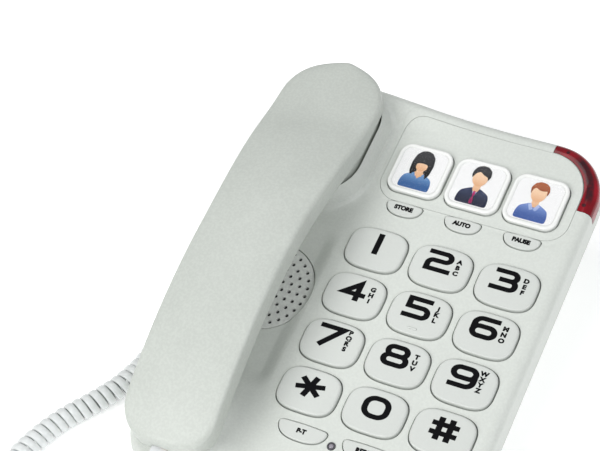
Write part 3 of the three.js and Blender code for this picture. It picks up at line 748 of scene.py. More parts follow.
def make_finishes(colours):
    """Makes every shared material, from the colours that a user can set."""
    case, key = tuple(colours.case), tuple(colours.key)
    FINISHES.update(
        case=plastic("case_plastic", case, 0.44, grain=0.00004, mottle=0.06),
        handset=plastic("handset_plastic", tuple(colours.handset), 0.42, grain=0.00005, mottle=0.09),
        key=plastic("key_plastic", key, 0.34, grain=0.000008, mottle=0.02),
        grille=plastic("grille_plastic", tuple(colours.grille), 0.6, grain=0.00012, grain_scale=900,
                       mottle=0.14),
        rim=plastic("picture_key_rim", (0.83, 0.84, 0.82), 0.25, grain=0.000004, mottle=0.015, coat=0.4),
        print=plain("key_print", tuple(colours.print), 0.7, specular_ior_level=0.08),
        dark=plain("dark_plastic", (0.02, 0.02, 0.022), 0.6),
        rubber=plain("foot_rubber", (0.05, 0.05, 0.052), 0.85, depth=0.00003),
        lens=lens_material(tuple(colours.lens)),
        cord=plain("cord_sheath", tuple(colours.cord), 0.26, depth=0.00001, coat_weight=0.25),
        plug=clear_material("clear_plug", (0.86, 0.88, 0.90), 0.55),
        window=clear_material("picture_window", (0.3, 0.3, 0.3), 0.04),
        card=plain("picture_card", (0.95, 0.95, 0.95), 0.5, scale=900, depth=0.000002),
        gold=plain("contact_gold", (0.75, 0.52, 0.18), 0.25, metallic=1.0),
        lamp_ring=plain("lamp_ring", (0.06, 0.06, 0.07), 0.4),
        lamp=plain("lamp_lens", (0.28, 0.26, 0.30), 0.12, coat_weight=0.5),
        steel=steel_material(),
        board=board_material(),
    )


# ---------------------------------------------------------------- key and panel outlines


def dial_places():
    """Each dial key's name and middle."""
    keys = bpy.context.scene.phone_keys
    return [
        (name, ((i % 3) - 1) * keys.pitch_x, (1.5 - i // 3) * keys.pitch_y) for i, name in enumerate(DIALS)
    ]


def dial_outline(x, y):
    keys = bpy.context.scene.phone_keys
    return superellipse(x, y, keys.width / 2, keys.depth / 2, keys.power)


def moon_outline(x, y, width, depth):
    """Nearly straight at the back, bowed towards the user, with rounded corners."""
    half = width / 2
    bow = [(x + half * (1 - 2 * t), y + 0.5 * math.sin(math.pi * t)) for t in np.linspace(0, 1, 12)]
    belly = []
    ends = ((-half, -half, -half * 0.45, 0), (0, half * 0.45, half, half))
    drops = ((0, 0.9, 1, 1), (1, 1, 0.9, 0))
    for across, down in zip(ends, drops):
        for t in np.linspace(0, 1, 16):
            blend = ((1 - t) ** 3, 3 * t * (1 - t) ** 2, 3 * t**2 * (1 - t), t**3)
            belly.append((x + sum(b * a for b, a in zip(blend, across)),
                          y - depth * sum(b * d for b, d in zip(blend, down))))
    return softened(resampled(bow + belly[1:-1], 96), 10)


def picture_places():
    pitch = bpy.context.scene.phone_keys.picture_pitch
    return [(number, (number - 2) * pitch, 85.8) for number in (1, 2, 3)]


def picture_outline(x, y, grow=0.0):
    half = bpy.context.scene.phone_keys.picture / 2
    return rounded(x, y, half + grow, half + grow, 6 + grow)


def panel_outline():
    left, right, front, back = (PANEL[side] for side in ("left", "right", "front", "back"))
    corner, wide = PANEL["corner"], PANEL["lens_corner"]
    points = arc(right - wide, back - wide, wide, 0, 90, 16)
    points += arc(left + corner, back - corner, corner, 90, 180)
    points += arc(left + corner, front + corner, corner, 180, 270)
    points += arc(right - corner, front + corner, corner, 270, 360)
    return resampled(points, 220)


def lens_outline(grow):
    """A band round the back right corner, between the panel and the case's edge."""
    reach = BASE["corner"] + 8
    cx, cy = PANEL["right"] - PANEL["lens_corner"], PANEL["back"] - PANEL["lens_corner"]
    inner = PANEL["lens_corner"] + 0.3 - grow
    left, front = LENS_LEFT - grow, cy - LENS_FRONT - grow
    points = [(left, cy + reach), (left, cy + inner)]
    points += arc(cx, cy, inner, 90, 0, 24)
    points += [(cx + inner, front), (cx + reach, front), (cx + reach, cy + reach)]
    return np.array(points)[::-1]


def cutter(name, outline, low, high, lip=0.35, face=0.0):
    """A tool for a hole with a rounded mouth at height face."""
    steps = [(0, low), (0, face - lip), *turned_edge(face - lip, lip, lip), (lip, high)]
    return loft(name, profile(outline, steps))


# ---------------------------------------------------------------- base


def corner_inset(y, inset):
    """How far the base's round corners draw its side in at a row."""
    radius = BASE["corner"] - inset
    into = max(BASE["front"] + inset + radius - y, y - BASE["back"] + inset + radius, 0)
    return radius - math.sqrt(max(radius**2 - into**2, 0))


def deck_body(name, inset, low, spacing, face):
    """A body over the base's whole plan, from a flat underside up to the face."""
    fine_x, fine_y = (EAR["x"] + 20, EAR["x"] + 33), (50, 61)  # the ear collar's steep side
    first, last = BASE["left"] + inset, BASE["right"] - inset
    steps = len(EDGE_STEPS)
    widest = graded(first, last, spacing, fine_x)[steps:-steps]
    share = (widest - first - EDGE_STEPS[-1]) / (last - first - 2 * EDGE_STEPS[-1])

    def line(left, right):
        """As many places on each row as on the widest one."""
        edge = EDGE_STEPS * min(1, (right - left) / 20)
        inner = left + edge[-1] + share * (right - left - 2 * edge[-1])
        return np.concatenate([left + edge, inner, right - edge[::-1]])

    rows = graded(BASE["front"] + inset, BASE["back"] - inset, spacing, fine_y)
    return slab(
        name, rows, line, lambda y: first + corner_inset(y, inset), lambda y: last - corner_inset(y, inset),
        lambda x, y: np.full_like(x, low), face,
    )


def hollow_body():
    """The room inside the case, a wall's thickness below the deck."""
    def ceiling(x, y):
        into = -edge_distance(base_block(-WALL), x, y)
        return valley(x, y) - WALL - 0.5 - quarter_fall(into, BASE["edge"])

    return deck_body("hollow", WALL, BASE["parting"] - 1, 5, ceiling)


class BuildTopCase(bpy.types.Operator):
    """Build the upper case: deck, collars, wells and all the holes through it"""

    bl_idname = "phone.top_case"
    bl_label = "Upper case"

    def execute(self, context):
        shell = deck_body("base_case_top", 0, BASE["parting"], 1.0, deck_face)
        for name in ("lens", "panel"):
            DECK_COPIES[name] = copy_of(shell, name)
        hollow = hollow_body()
        for end in (EAR, MOUTH):
            outline = block_outline(end, end["clear"] + WALL)
            combine(hollow, loft("well_wall", [at_height(outline, z) for z in (WELL_FLOOR - WALL, 30)]))
        combine(shell, hollow)
        for end in (EAR, MOUTH):
            lip = end["rim"] - 1
            steps = [(-2, WELL_FLOOR), (-0.6, WELL_FLOOR + 0.6), (0, WELL_FLOOR + 2), (0, lip)]
            steps += [*turned_edge(lip, 1, 1), (1, 40)]
            combine(shell, loft("well", profile(block_outline(end, end["clear"]), steps)))
        for x, y in SCREW_PLACES:
            low, top = FLOOR + WALL, RISE + y * math.sin(SLOPE) - WALL
            combine(shell, post(x, y, low + 0.3, top, SCREW["boss"]), "UNION")
            combine(shell, post(x, y, low, low + SCREW["deep"], SCREW["bore"]))
        self.cut_holes(shell, context.scene.phone_keys.clear)
        hook = (AXIS + HOOK[0], AXIS + HOOK[1], *HOOK[2:])
        combine(shell, box(*hook, WELL_FLOOR - WALL - 1, WELL_FLOOR + 1))
        finish_piece(shell, "base_case_top", "case", "base", "case", nodes=["base_top_shell"])
        return {"FINISHED"}

    def cut_holes(self, shell, clear):
        """The holes for the keys, the lamp, the picture panel, the lens and the grille."""
        low, high = -WALL - 2, 6
        outlines = [grown(dial_outline(x, y), clear) for _, x, y in dial_places()]
        outlines += [grown(moon_outline(*place), MOON_CLEAR) for _, _, *place in MOON_KEYS]
        tools = [cutter("hole", outline, low, high, 0.15) for outline in outlines]
        tools.append(cylinder(*LAMP, low, high, 2.05, 40))
        combine(shell, join(tools))
        combine(shell, cutter("hole", panel_outline(), low, 9, 0.05))
        combine(shell, loft("hole", [at_height(lens_outline(0.2), z) for z in (-9.3, 12)]))
        disc = circle(GRILLE["x"], GRILLE["y"], GRILLE["radius"] + 0.3)
        combine(shell, cutter("hole", disc, GRILLE["z"] - 8, 8, 0.5, GRILLE["z"] + 0.15))


class BuildLens(bpy.types.Operator):
    """Build the ringer lens that wraps over the back right corner"""

    bl_idname = "phone.lens"
    bl_label = "Ringer lens"

    def execute(self, context):
        lens = DECK_COPIES["lens"]
        band = loft("band", [at_height(lens_outline(-0.05), z) for z in (-9, 12)])
        combine(lens, band, "INTERSECT")
        combine(lens, hollow_body())
        finish_piece(lens, "ringer_lens_cover", "lens", "base", "red_lens", nodes=["ringer_lens"])
        return {"FINISHED"}


def floor_at(y, height):
    """The deck frame's z at a height above the table."""
    return (height - RISE - y * math.sin(SLOPE)) / math.cos(SLOPE)


class BuildLowerCase(bpy.types.Operator):
    """Build the lower case: a tray whose walls lean in towards a level floor"""

    bl_idname = "phone.lower_case"
    bl_label = "Lower case"

    def execute(self, context):
        start = BASE["parting"] - 0.3
        block = base_block()

        def foot(inset, height):
            ring = []
            for x, y in block_outline(block, -inset, 160):
                lean = 2 + 0.27 * (start - floor_at(y, height))
                fx = block["x"] + (x - block["x"]) * (1 - lean / block["half_x"])
                fy = block["y"] + (y - block["y"]) * (1 - lean / block["half_y"])
                ring.append((fx, fy, floor_at(fy, height)))
            return ring

        def rim(inset, height):
            return at_height(block_outline(block, -inset, 160), height)

        rings = [foot(4, FLOOR), foot(2.2, FLOOR + 0.35), foot(0.9, FLOOR + 1.1), foot(0.2, FLOOR + 2.4)]
        rings += [foot(0, FLOOR + 4), rim(0.15, start - 0.4), rim(0.4, start), rim(WALL, start)]
        rings += [foot(WALL, FLOOR + WALL + 1), foot(WALL + 2, FLOOR + WALL)]
        shell = loft("base_case_bottom", rings)
        jack_y = BASE_JACK[1]
        tools = [
            box(12.7, 27.3, 90, 130, -41.3, -28.7),  # the line jack's opening
            box(-120, -92, jack_y - 6.3, jack_y + 6.3, -30.3, -19.7),  # the handset jack's
            box(-15.2, -4.8, 95, 130, -32, -28),  # the ringer switch's
        ]
        tools += [post(x, y, -1, FLOOR + 1.4, SCREW["head"]) for x, y in SCREW_PLACES]
        combine(shell, join(tools))
        for x, y in SCREW_PLACES:
            combine(shell, post(x, y, 0, FLOOR + WALL + 2, SCREW["shank"]))
        for x in (-55, 5):
            for y in range(-28, 29, 7):
                combine(shell, upright(box(x - 12, x + 12, y - 1.2, y + 1.2, -6, FLOOR + 1.2)))
        finish_piece(shell, "base_case_bottom", "case", "base", "case", nodes=["base_bottom_shell"])
        return {"FINISHED"}


class BuildPanel(bpy.types.Operator):
    """Build the panel that frames the three picture keys"""

    bl_idname = "phone.panel"
    bl_label = "Picture panel"

    def execute(self, context):
        panel = DECK_COPIES["panel"]
        keep = loft("keep", profile(panel_outline(), [(-0.18, -WALL), (-0.18, 9)]))
        combine(panel, keep, "INTERSECT")
        tools = [
            cutter("hole", picture_outline(x, y, 0.45), -WALL - 1, 2, 0.15) for _, x, y in picture_places()
        ]
        combine(panel, join(tools))
        finish_piece(panel, "picture_panel", "case", "base", "case", nodes=["memory_panel"])
        return {"FINISHED"}


class BuildGrille(bpy.types.Operator):
    """Build the ringer's round grille with its rings of holes"""

    bl_idname = "phone.grille"
    bl_label = "Ringer grille"

    def execute(self, context):
        x, y, z, radius = (GRILLE[key] for key in ("x", "y", "z", "radius"))
        rings = [(radius, z - 1.1), (radius, z - 0.5), (radius - 0.15, z - 0.2), (radius - 0.5, z - 0.05)]
        rings.append((radius - 1.2, z))
        disc = loft("ringer_grille", [at_height(circle(x, y, r), height) for r, height in rings])
        holes = [cylinder(x, y, z - 4, z + 1, GRILLE["hole"], 14)]
        for across, along in hole_places(GRILLE["rings"], GRILLE["ring"])[1:]:
            twin = copy_of(holes[0], "hole")
            twin.data.transform(Matrix.Translation((across, along, 0)))
            holes.append(twin)
        combine(disc, join(holes))
        # A dark disc just under the grille: painted shade that makes the holes look dark inside.
        shade_disc = loft("shade_disc", [at_height(circle(x, y, radius - 1), z - drop) for drop in (1.6, 1.15)])
        finish_piece(shade_disc, "ringer_shade_disc", "dark", "base", "grille")
        finish_piece(disc, "ringer_grille", "grille", "base", "grille", nodes=["speaker_grille"])
        return {"FINISHED"}


# ---------------------------------------------------------------- printing


def rounded_line(points):
    """A line through points (x, y, radius), each corner rounded by its own radius."""
    line = []
    for i, point in enumerate(points):
        here = Vector(point[:2])
        radius = point[2] if len(point) > 2 else 0
        if radius == 0 or i in (0, len(points) - 1):
            line.append(tuple(here))
            continue
        before = (Vector(points[i - 1][:2]) - here).normalized()
        after = (Vector(points[i + 1][:2]) - here).normalized()
        half = before.angle(after) / 2
        reach = radius / math.tan(half)
        middle = here + (before + after).normalized() * radius / math.sin(half)
        start, end = here + before * reach - middle, here + after * reach - middle
        turn = start.angle_signed(end)
        for t in np.linspace(0, 1, 9):
            line.append(tuple(middle + Matrix.Rotation(-turn * t, 2) @ start))
    return line


PRINT_THICK = 0.06


def stroke(line, width, closed=False):
    """A thin solid as wide as a pen stroke along the line."""
    deselect()
    bpy.ops.mesh.primitive_plane_add(size=1)
    obj = bpy.context.object
    work = bmesh.new()
    low = [work.verts.new((x, y, 0)) for x, y in line]
    high = [work.verts.new((x, y, PRINT_THICK)) for x, y in line]
    count = len(line)
    for i in range(count if closed else count - 1):
        j = (i + 1) % count
        work.faces.new((low[i], low[j], high[j], high[i]))
    work.to_mesh(obj.data)
    work.free()
    wall = obj.modifiers.new("pen", "SOLIDIFY")
    wall.thickness = width
    wall.offset = 0
    wall.use_even_offset = True
    bpy.ops.object.modifier_apply(modifier=wall.name)
    bpy.ops.object.mode_set(mode="EDIT")
    face_outward()
    return obj


def loop_line(half_x, low, high, radius):
    """A closed rounded rectangle as a line."""
    middle, half_y = (low + high) / 2, (high - low) / 2
    corner = min(radius, half_x - 0.01, half_y - 0.01)
    return [tuple(p) for p in rounded(0, middle, half_x, half_y, corner, 56)]


def glyph_strokes(name):
    """The strokes of one dial mark before it is widened: lines of points, or a "loop" with its sizes."""
    r = 2.1
    hook = [(5.2, 4.5), (-4.3, 4.5, 3), (-4.3, -1)]
    marks = {
        "1": [[(0, 5.7), (0, -5.7)]],
        "2": [[(-5.2, 4.5), (4.2, 4.5, r), (4.2, 0.2, r), (-4.2, 0.2, r), (-4.2, -4.5), (5.5, -4.5)]],
        "3": [[(-4.9, 4.5), (4, 4.5, r), (4, 0.1, r), (-2.6, 0.1)],
              [(-2.6, 0.1), (4.3, 0.1, r), (4.3, -4.5, r), (-5.5, -4.5)]],
        "4": [[(2.4, -5.7), (2.4, 3.4), (-3.1, -2.2), (5.7, -2.2)]],
        "5": [[(5, 4.5), (-3.9, 4.5), (-3.9, 0.3), (4.3, 0.3, r), (4.3, -4.5, r), (-5.5, -4.5)]],
        "6": [hook, ("loop", 4.3, -4.5, 0.5, 2.4)],
        "7": [[(-5.5, 4.5), (4.2, 4.5), (-3.4, -5.7)]],
        "8": [("loop", 3.8, 0.1, 4.5, r), ("loop", 4.4, -4.5, 0.1, 2.2)],
        "9": [[(-x, -y, *rest) for x, y, *rest in hook], ("loop", 4.3, -0.5, 4.5, 2.4)],
        "0": [("loop", 4.4, -4.5, 4.5, 3.6)],
        "star": [[(side * 5.9 * math.cos(a), side * 5.4 * math.sin(a)) for side in (1, -1)]
                 for a in (math.radians(75), math.radians(15), math.radians(135))],
        "hash": [[(x, 5.6), (x, -5.6)] for x in (-2.1, 2.1)] + [[(-5.3, y), (5.3, y)] for y in (-2.2, 2.2)],
    }
    return marks[name]


def glyph(name, width):
    """A printed digit or sign as one thin solid."""
    solid = None
    for line in glyph_strokes(name):
        if line[0] == "loop":
            piece = stroke(loop_line(*line[1:]), width, closed=True)
        else:
            piece = stroke(rounded_line(line), width)
        if solid is None:
            solid = piece
            continue
        piece.data.transform(Matrix.Translation((0, 0, 0.001)))
        combine(solid, piece, "UNION")
    return solid


def lettering(text, x, y, wide, bold, size=3.0, thick=0.05):
    """Printed letters, centred on a point, as a thin solid."""
    deselect()
    bpy.ops.object.text_add()
    obj = bpy.context.object
    obj.data.body = text
    obj.data.size = size
    obj.data.offset = bold
    obj.data.align_x = "CENTER"
    obj.data.align_y = "CENTER"
    obj.data.extrude = thick / 2
    obj.data.resolution_u = 4
    bpy.ops.object.convert(target="MESH")
    obj = bpy.context.object
    obj.data.transform(Matrix.Translation((x, y, thick / 2)) @ Matrix.Diagonal((wide, 1, 1, 1)))
    return obj


def lay_on(obj, height):
    """Moves a print's vertices onto a key's face."""
    place = coordinates(obj)
    place[:, 2] += height(place[:, 0], place[:, 1])
    set_coordinates(obj, place)


# ---------------------------------------------------------------- keys


def key_rings(outline, proud, edge, foot=-4.0, flange=0.0):
    """Rings up the side of a key and over its soft edge."""
    steps = [(flange, foot), (flange, foot + 1.2), (0, foot + 1.2)] if flange else [(0, foot)]
    steps += [(0, proud - edge), *turned_edge(proud - edge, -edge * 1.25, edge, (22, 45, 67, 90))]
    return profile(outline, steps)


class BuildDialKeys(bpy.types.Operator):
    """Build the twelve dial keys and their printing"""

    bl_idname = "phone.dial_keys"
    bl_label = "Dial keys"

    def execute(self, context):
        keys = context.scene.phone_keys
        edge, dome = 0.85, 0.12
        top = keys.proud - dome

        def face(x0, y0):
            def height(x, y):
                away = ((x - x0) / (keys.width / 2)) ** 2 + ((y - y0) / (keys.depth / 2)) ** 2
                return top + dome * np.clip(1 - away, 0, 1)
            return height

        for name, x, y in dial_places():
            outline = dial_outline(x, y)
            rings = key_rings(outline, top, edge, flange=1.4)
            middle = np.array([x, y])
            for shrink in (0.8, 0.55, 0.3, 0.08):
                ring = middle + (outline - middle) * shrink
                rings.append([(px, py, float(face(x, y)(px, py))) for px, py in ring])
            cap = loft("key", rings)
            if name == "5":  # the small bar that fingers find
                nib = box(x - 2.2, x + 2.2, y - 8.4, y - 7.4, 0.5, keys.proud + 0.38, 0.28)
                combine(cap, nib, "UNION")
            body = f"key_{name}"
            finish_piece(cap, f"dial_key_{name}", "key", body, "keycap", nodes=[body], angle=40)
            marks = join(self.prints(name, x, y, keys.stroke))
            lay_on(marks, face(x, y))
            finish_piece(marks, f"dial_print_{name}", "print", body, "keycap", shade=False)
        return {"FINISHED"}

    def prints(self, name, x, y, width):
        """A key's large digit, left of its middle if a column of small letters stands beside it."""
        solids = [glyph(name, width)]
        centred = name in ("star", "0", "hash", "1")
        place = (x + 0.2, y + (2.7 if name == "1" else 1.8)) if centred else (x - 1.5, y + 2.7)
        solids[0].data.transform(Matrix.Translation((*place, 0)) @ Matrix.Diagonal((1.22, 1, 1, 1)))
        letters = LETTERS.get(name, "")
        column, first, spacing = (7.1, 6.8, 2.85) if len(letters) > 3 else (7.9, 5.0, 3.1)
        for i, letter in enumerate(letters):
            solids.append(lettering(letter, x + column, y + first - i * spacing, 1.15, 0.2))
        return solids


class BuildMoonKeys(bpy.types.Operator):
    """Build the six half-moon keys and their labels"""

    bl_idname = "phone.moon_keys"
    bl_label = "Half-moon keys"

    def execute(self, context):
        for name, label, x, y, width, depth in MOON_KEYS:
            outline = moon_outline(x, y, width, depth)
            cap = loft("key", key_rings(outline, MOON_PROUD, 0.6))
            stem = box(x - 3, x + 3, y - 5, y - 2, -4.2, 0)
            combine(cap, stem, "UNION")
            finish_piece(cap, name.replace("_key", "_cap"), "key", name, "keycap", nodes=[name],
                         angle=40)
            middle = y - depth * (0.40 if depth < 7.5 else 0.42)
            text = lettering(label, x, middle, 1.03, 0.22)
            lay_on(text, lambda px, py: np.full_like(px, MOON_PROUD))
            finish_piece(text, name.replace("_key", "_label"), "print", name, "keycap",
                         shade=False)
        return {"FINISHED"}


def smooth_outline(points, count=64, rounds=3):
    """A rounded outline through rough points."""
    return softened(resampled(points, count), rounds)


def ellipse(x, y, half_x, half_y, count=48):
    angles = np.linspace(0, 2 * np.pi, count, endpoint=False)
    return np.stack([x + half_x * np.cos(angles), y + half_y * np.sin(angles)], 1)


def cut_out(name, outline, low, thick):
    return loft(name, [at_height(outline, low), at_height(outline, low + thick)])


# Two inks, from the lower end of a shape to its upper end.
SKIN = ((0.80, 0.43, 0.23), (0.96, 0.68, 0.46))


def mirrored(points):
    return [(-x, y) for x, y in points]


def pictures():
    """Three faceless busts: for each, its shapes from back to front.

    A shape is its name, its outline, its colours from low to high and the heights between which they change.
    """
    blue = ((0.035, 0.12, 0.33), (0.16, 0.34, 0.62))
    navy = ((0.012, 0.016, 0.045), (0.045, 0.06, 0.13))
    shirt = ((0.05, 0.11, 0.36), (0.2, 0.31, 0.65))
    black = ((0.004, 0.004, 0.005), (0.04, 0.04, 0.045))
    brown = ((0.16, 0.03, 0.012), (0.42, 0.12, 0.045))
    crimson = ((0.30, 0.01, 0.09), (0.50, 0.03, 0.17))
    pale = ((0.30, 0.40, 0.70), (0.52, 0.60, 0.85))
    shoulders = smooth_outline([
        (-7, -9.2), (7, -9.2), (7, -6.2), (6.2, -3.6), (3.6, -2.3), (1.6, -1.4), (-1.6, -1.4),
        (-3.6, -2.3), (-6.2, -3.6), (-7, -6.2),
    ])
    neck = smooth_outline([(-1.5, -3.2), (1.5, -3.2), (1.6, 0.8), (-1.6, 0.8)], 32, 1)
    neckline = [(-2.2, -1.5), (0, -4.3), (2.2, -1.5), (0, -0.6)]
    opening = [(-1.8, -1.3), (0, -6.9), (1.8, -1.3)]
    tie = [(-0.5, -2.9), (0.5, -2.9), (0.8, -8.4), (0, -9), (-0.8, -8.4)]
    lapel = [(0.5, -6.9), (2.9, -2.2), (1.7, -1.5), (0.2, -5.4)]
    wing = [(0, -4.1), (1.5, -1.5), (2.6, -2.4), (1.3, -4.9)]
    long_hair = [
        (-3.6, -3.4), (-2.3, -1.2), (-2.6, 2.6), (0, 3), (2.6, 2.6), (2.3, -1.2), (3.3, -4.2), (4.5, -1.6),
        (4.9, 2.8), (4.2, 6.4), (2.3, 8.4), (0, 8.9), (-2.3, 8.4), (-4.2, 6.4), (-4.9, 2.8), (-4.6, -1.4),
    ]
    fringe = [
        (-3.6, 3.2), (-3.1, 4.9), (-0.8, 4.4), (1.7, 4.6), (3.3, 4.8), (3.7, 3.2), (4.3, 6.2), (2.3, 8.4),
        (0, 8.9), (-2.3, 8.4), (-4.3, 6.2),
    ]
    short_hair = [
        (-3.5, 2.6), (-2.6, 4.9), (-0.9, 6.0), (0.9, 4.8), (2.9, 4.2), (3.4, 2.6), (4.2, 4.6), (3.7, 7.1),
        (1.8, 8.7), (-0.6, 8.9), (-2.9, 8), (-4, 6), (-4.1, 4),
    ]
    parted = [
        (-3.5, 2.4), (-3, 4.6), (-2.1, 5.6), (-0.2, 4.6), (1.9, 4.6), (3.0, 5.2), (3.5, 2.6), (4.1, 4.8),
        (3.4, 7.1), (1.6, 8.3), (-0.8, 8.5), (-3, 7.5), (-4.1, 5.3),
    ]
    throat = ("neck", neck, SKIN, (-6, 5))
    face = ("face", ellipse(0, 3.2, 3.3, 3.9), SKIN, (-2, 7))
    small = lambda points: smooth_outline(points, 40, 1)
    return [
        [("hair_back", smooth_outline(long_hair[:1] + long_hair[6:]), black, (-5, 9)),
         ("top", shoulders, blue, (-9, -1)), ("neckline", small(neckline), SKIN, (-6, 4)), throat, face,
         ("hair", smooth_outline(long_hair, 96), black, (-1, 9)),
         ("fringe", smooth_outline(fringe, 72, 2), black, (2, 9))],
        [("suit", shoulders, navy, (-9, -1)), ("shirt", small(opening), pale, (-7, -1)), throat,
         ("tie", small(tie), crimson, (-9, -2)), ("lapel_left", small(mirrored(lapel)), navy, (-9, 2)),
         ("lapel_right", small(lapel), navy, (-9, 2)), face,
         ("hair", smooth_outline(short_hair, 80, 2), black, (2, 9))],
        [("shirt", shoulders, shirt, (-9, -1)), throat,
         ("collar_left", small(mirrored(wing)), pale, (-7, 0)), ("collar_right", small(wing), pale, (-7, 0)),
         face, ("hair", smooth_outline(parted, 80, 2), brown, (2, 9))],
    ]


class BuildPictureKeys(bpy.types.Operator):
    """Build the three picture keys: button, white rim, card, clear window and a plain portrait sign"""

    bl_idname = "phone.picture_keys"
    bl_label = "Picture keys"

    def execute(self, context):
        proud, card_top, inset, foot = 2.3, 1.85, 2.1, -4.0
        rim_steps = [
            (0, 0.45), (0, 1.75), (-0.12, 2.0), (-0.4, 2.18), (-0.9, proud - 0.04), (-1.5, proud - 0.08),
            (-1.9, proud - 0.24), (-inset, card_top + 0.08), (-inset - 0.2, card_top), (-inset - 0.3, 0.45),
        ]
        for (number, x, y), shapes in zip(picture_places(), pictures()):
            outline, flange = picture_outline(x, y), picture_outline(x, y, 0.8)
            button = [at_height(flange, foot), at_height(flange, foot + 1.2)]
            button += [at_height(outline, foot + 1.2), at_height(outline, 0.3)]
            glass = grown(outline, -inset + 0.1)
            pieces = [
                (loft("button", button), "button", "key", "keycap", [f"memory_key_{number}"], 32),
                (ring_loft("rim", profile(outline, rim_steps)), "rim", "rim", "keycap", [], 50),
                (loft("pane", profile(glass, [(0, 2.13), (0, 2.18), (-0.3, 2.21)])), "window", "window",
                 "window", [f"memory_window_{number}"], 32),
                (cut_out("card", grown(outline, -inset - 0.22), card_top - 0.3, 0.3), "card", "card",
                 "card", [f"memory_card_{number}"], 32),
            ]
            body = f"memory_{number}"
            for piece, name, finish, slot, nodes, angle in pieces:
                finish_piece(piece, f"picture_{name}_{number}", finish, body, slot, nodes=nodes, angle=angle)
            for layer, (label, shape, colours, steps) in enumerate(shapes):
                shape = np.array([x, y + 0.4]) + np.array(shape) * (1.13, 1.22)
                sign = cut_out(label, shape, card_top + 0.005 + 0.03 * layer, 0.025)
                name = f"picture_{number}_{label}"
                ink = gradient_material(name, *colours, y + steps[0], y + steps[1])
                finish_piece(sign, name, ink, body, "card", shade=False)
        return {"FINISHED"}


def ring_loft(name, rings):
    """A closed band: the last ring joins the first."""
    obj = loft(name, rings, cap=False)
    bpy.ops.object.mode_set(mode="EDIT")
    bpy.ops.mesh.select_all(action="DESELECT")
    work = bmesh.from_edit_mesh(obj.data)
    flat = [face for face in work.faces if len(face.verts) > 4]
    bmesh.ops.delete(work, geom=flat, context="FACES_ONLY")
    bmesh.update_edit_mesh(obj.data)
    bpy.ops.mesh.select_mode(type="EDGE")
    bpy.ops.mesh.select_non_manifold(extend=False)
    bpy.ops.mesh.bridge_edge_loops()
    bpy.ops.mesh.select_mode(type="VERT")
    face_outward()
    return obj


class BuildStatusLamp(bpy.types.Operator):
    """Build the status lamp: a dark ring round a small domed lens"""

    bl_idname = "phone.status_lamp"
    bl_label = "Status lamp"

    def execute(self, context):
        x, y = LAMP
        rings = [(1.95, -4), (1.95, 0.35), (1.85, 0.5), (1.6, 0.58), (1.35, 0.5), (1.3, 0.3), (1.3, -4)]
        ring = ring_loft("ring", [at_height(circle(x, y, r, 40), z) for r, z in rings])
        finish_piece(ring, "lamp_bezel", "lamp_ring", "base", "lamp", angle=50)
        rings = [(1.25, -6), (1.25, 0.2), (1.1, 0.42), (0.75, 0.6), (0.35, 0.7), (0.08, 0.72)]
        dome = loft("dome", [at_height(circle(x, y, r, 40), z) for r, z in rings])
        finish_piece(dome, "lamp_dome", "lamp", "base", "lamp", nodes=["status_lamp"], angle=50)
        return {"FINISHED"}


# ---------------------------------------------------------------- handset


LEFT_FULLNESS = 2.22  # the ear end is fuller on its outer side


def handset_width(y, inset=0.0, fullness=2.0):
    """Half the handset's width at a row, with its rounded ends."""
    sizes = bpy.context.scene.phone_handset
    to_ear = smooth((y - 10) / 75)
    to_mouth = smooth((-30 - y) / 45)
    half = sizes.grip_width + (sizes.ear_width - sizes.grip_width) * to_ear
    half += (sizes.mouth_width - sizes.grip_width) * to_mouth
    ear_round, mouth_round = HANDSET["ear_round"], HANDSET["mouth_round"]
    into_ear = np.clip((y - (HANDSET["ear"] - ear_round)) / (ear_round - inset), 0, 1)
    into_mouth = np.clip((HANDSET["mouth"] + mouth_round - y) / (mouth_round - inset), 0, 1)
    ear_share = (1 - into_ear**fullness) ** (1 / fullness)
    mouth_share = 1 - HANDSET["mouth_taper"] * (1 - np.sqrt(1 - into_mouth**2))
    return np.maximum((half - inset) * (ear_share * mouth_share), 0.4)


def handset_arch(y):
    """Height of the handset's top: an arc that runs on straight, with a soft bend, at the ear end."""
    sizes = bpy.context.scene.phone_handset
    bend, apex, slope = 84, 4, 0.14
    ease = 1.6 * smooth((y - 30) / 30)
    arch = sizes.top - sizes.radius + np.sqrt(sizes.radius**2 - (y - apex) ** 2)
    at_bend = sizes.top - sizes.radius + math.sqrt(sizes.radius**2 - (bend - apex) ** 2)
    end = at_bend - slope * (y - bend)
    end = np.where(y < 30, arch, end)
    return (arch + end + np.sqrt((arch - end) ** 2 + ease**2)) / 2


def handset_outline(inset=0.0):
    """The handset's plan as one closed line."""
    rows = graded(HANDSET["mouth"] + inset, HANDSET["ear"] - inset, 1.0)
    right = [(AXIS + float(handset_width(y, inset)), y) for y in rows]
    left = [(AXIS - float(handset_width(y, inset, LEFT_FULLNESS)), y) for y in rows[::-1]]
    return resampled(right + left, 900)


def distance_inside(outline):
    """A function that gives how far inside the outline each point is."""
    tree = KDTree(len(outline))
    for i, (x, y) in enumerate(outline):
        tree.insert((x, y, 0), i)
    tree.balance()
    step = np.roll(outline, -1, 0) - outline

    def to_segment(points, i):
        apart = points - outline[i]
        t = np.clip(np.sum(apart * step[i], 1) / np.sum(step[i] ** 2, 1), 0, 1)
        return np.linalg.norm(apart - t[:, None] * step[i], axis=1)

    def measure(x, y):
        points = np.stack([x, y], 1)
        near = np.array([tree.find((a, b, 0))[1] for a, b in points])
        return np.minimum(to_segment(points, near), to_segment(points, near - 1))
    return measure


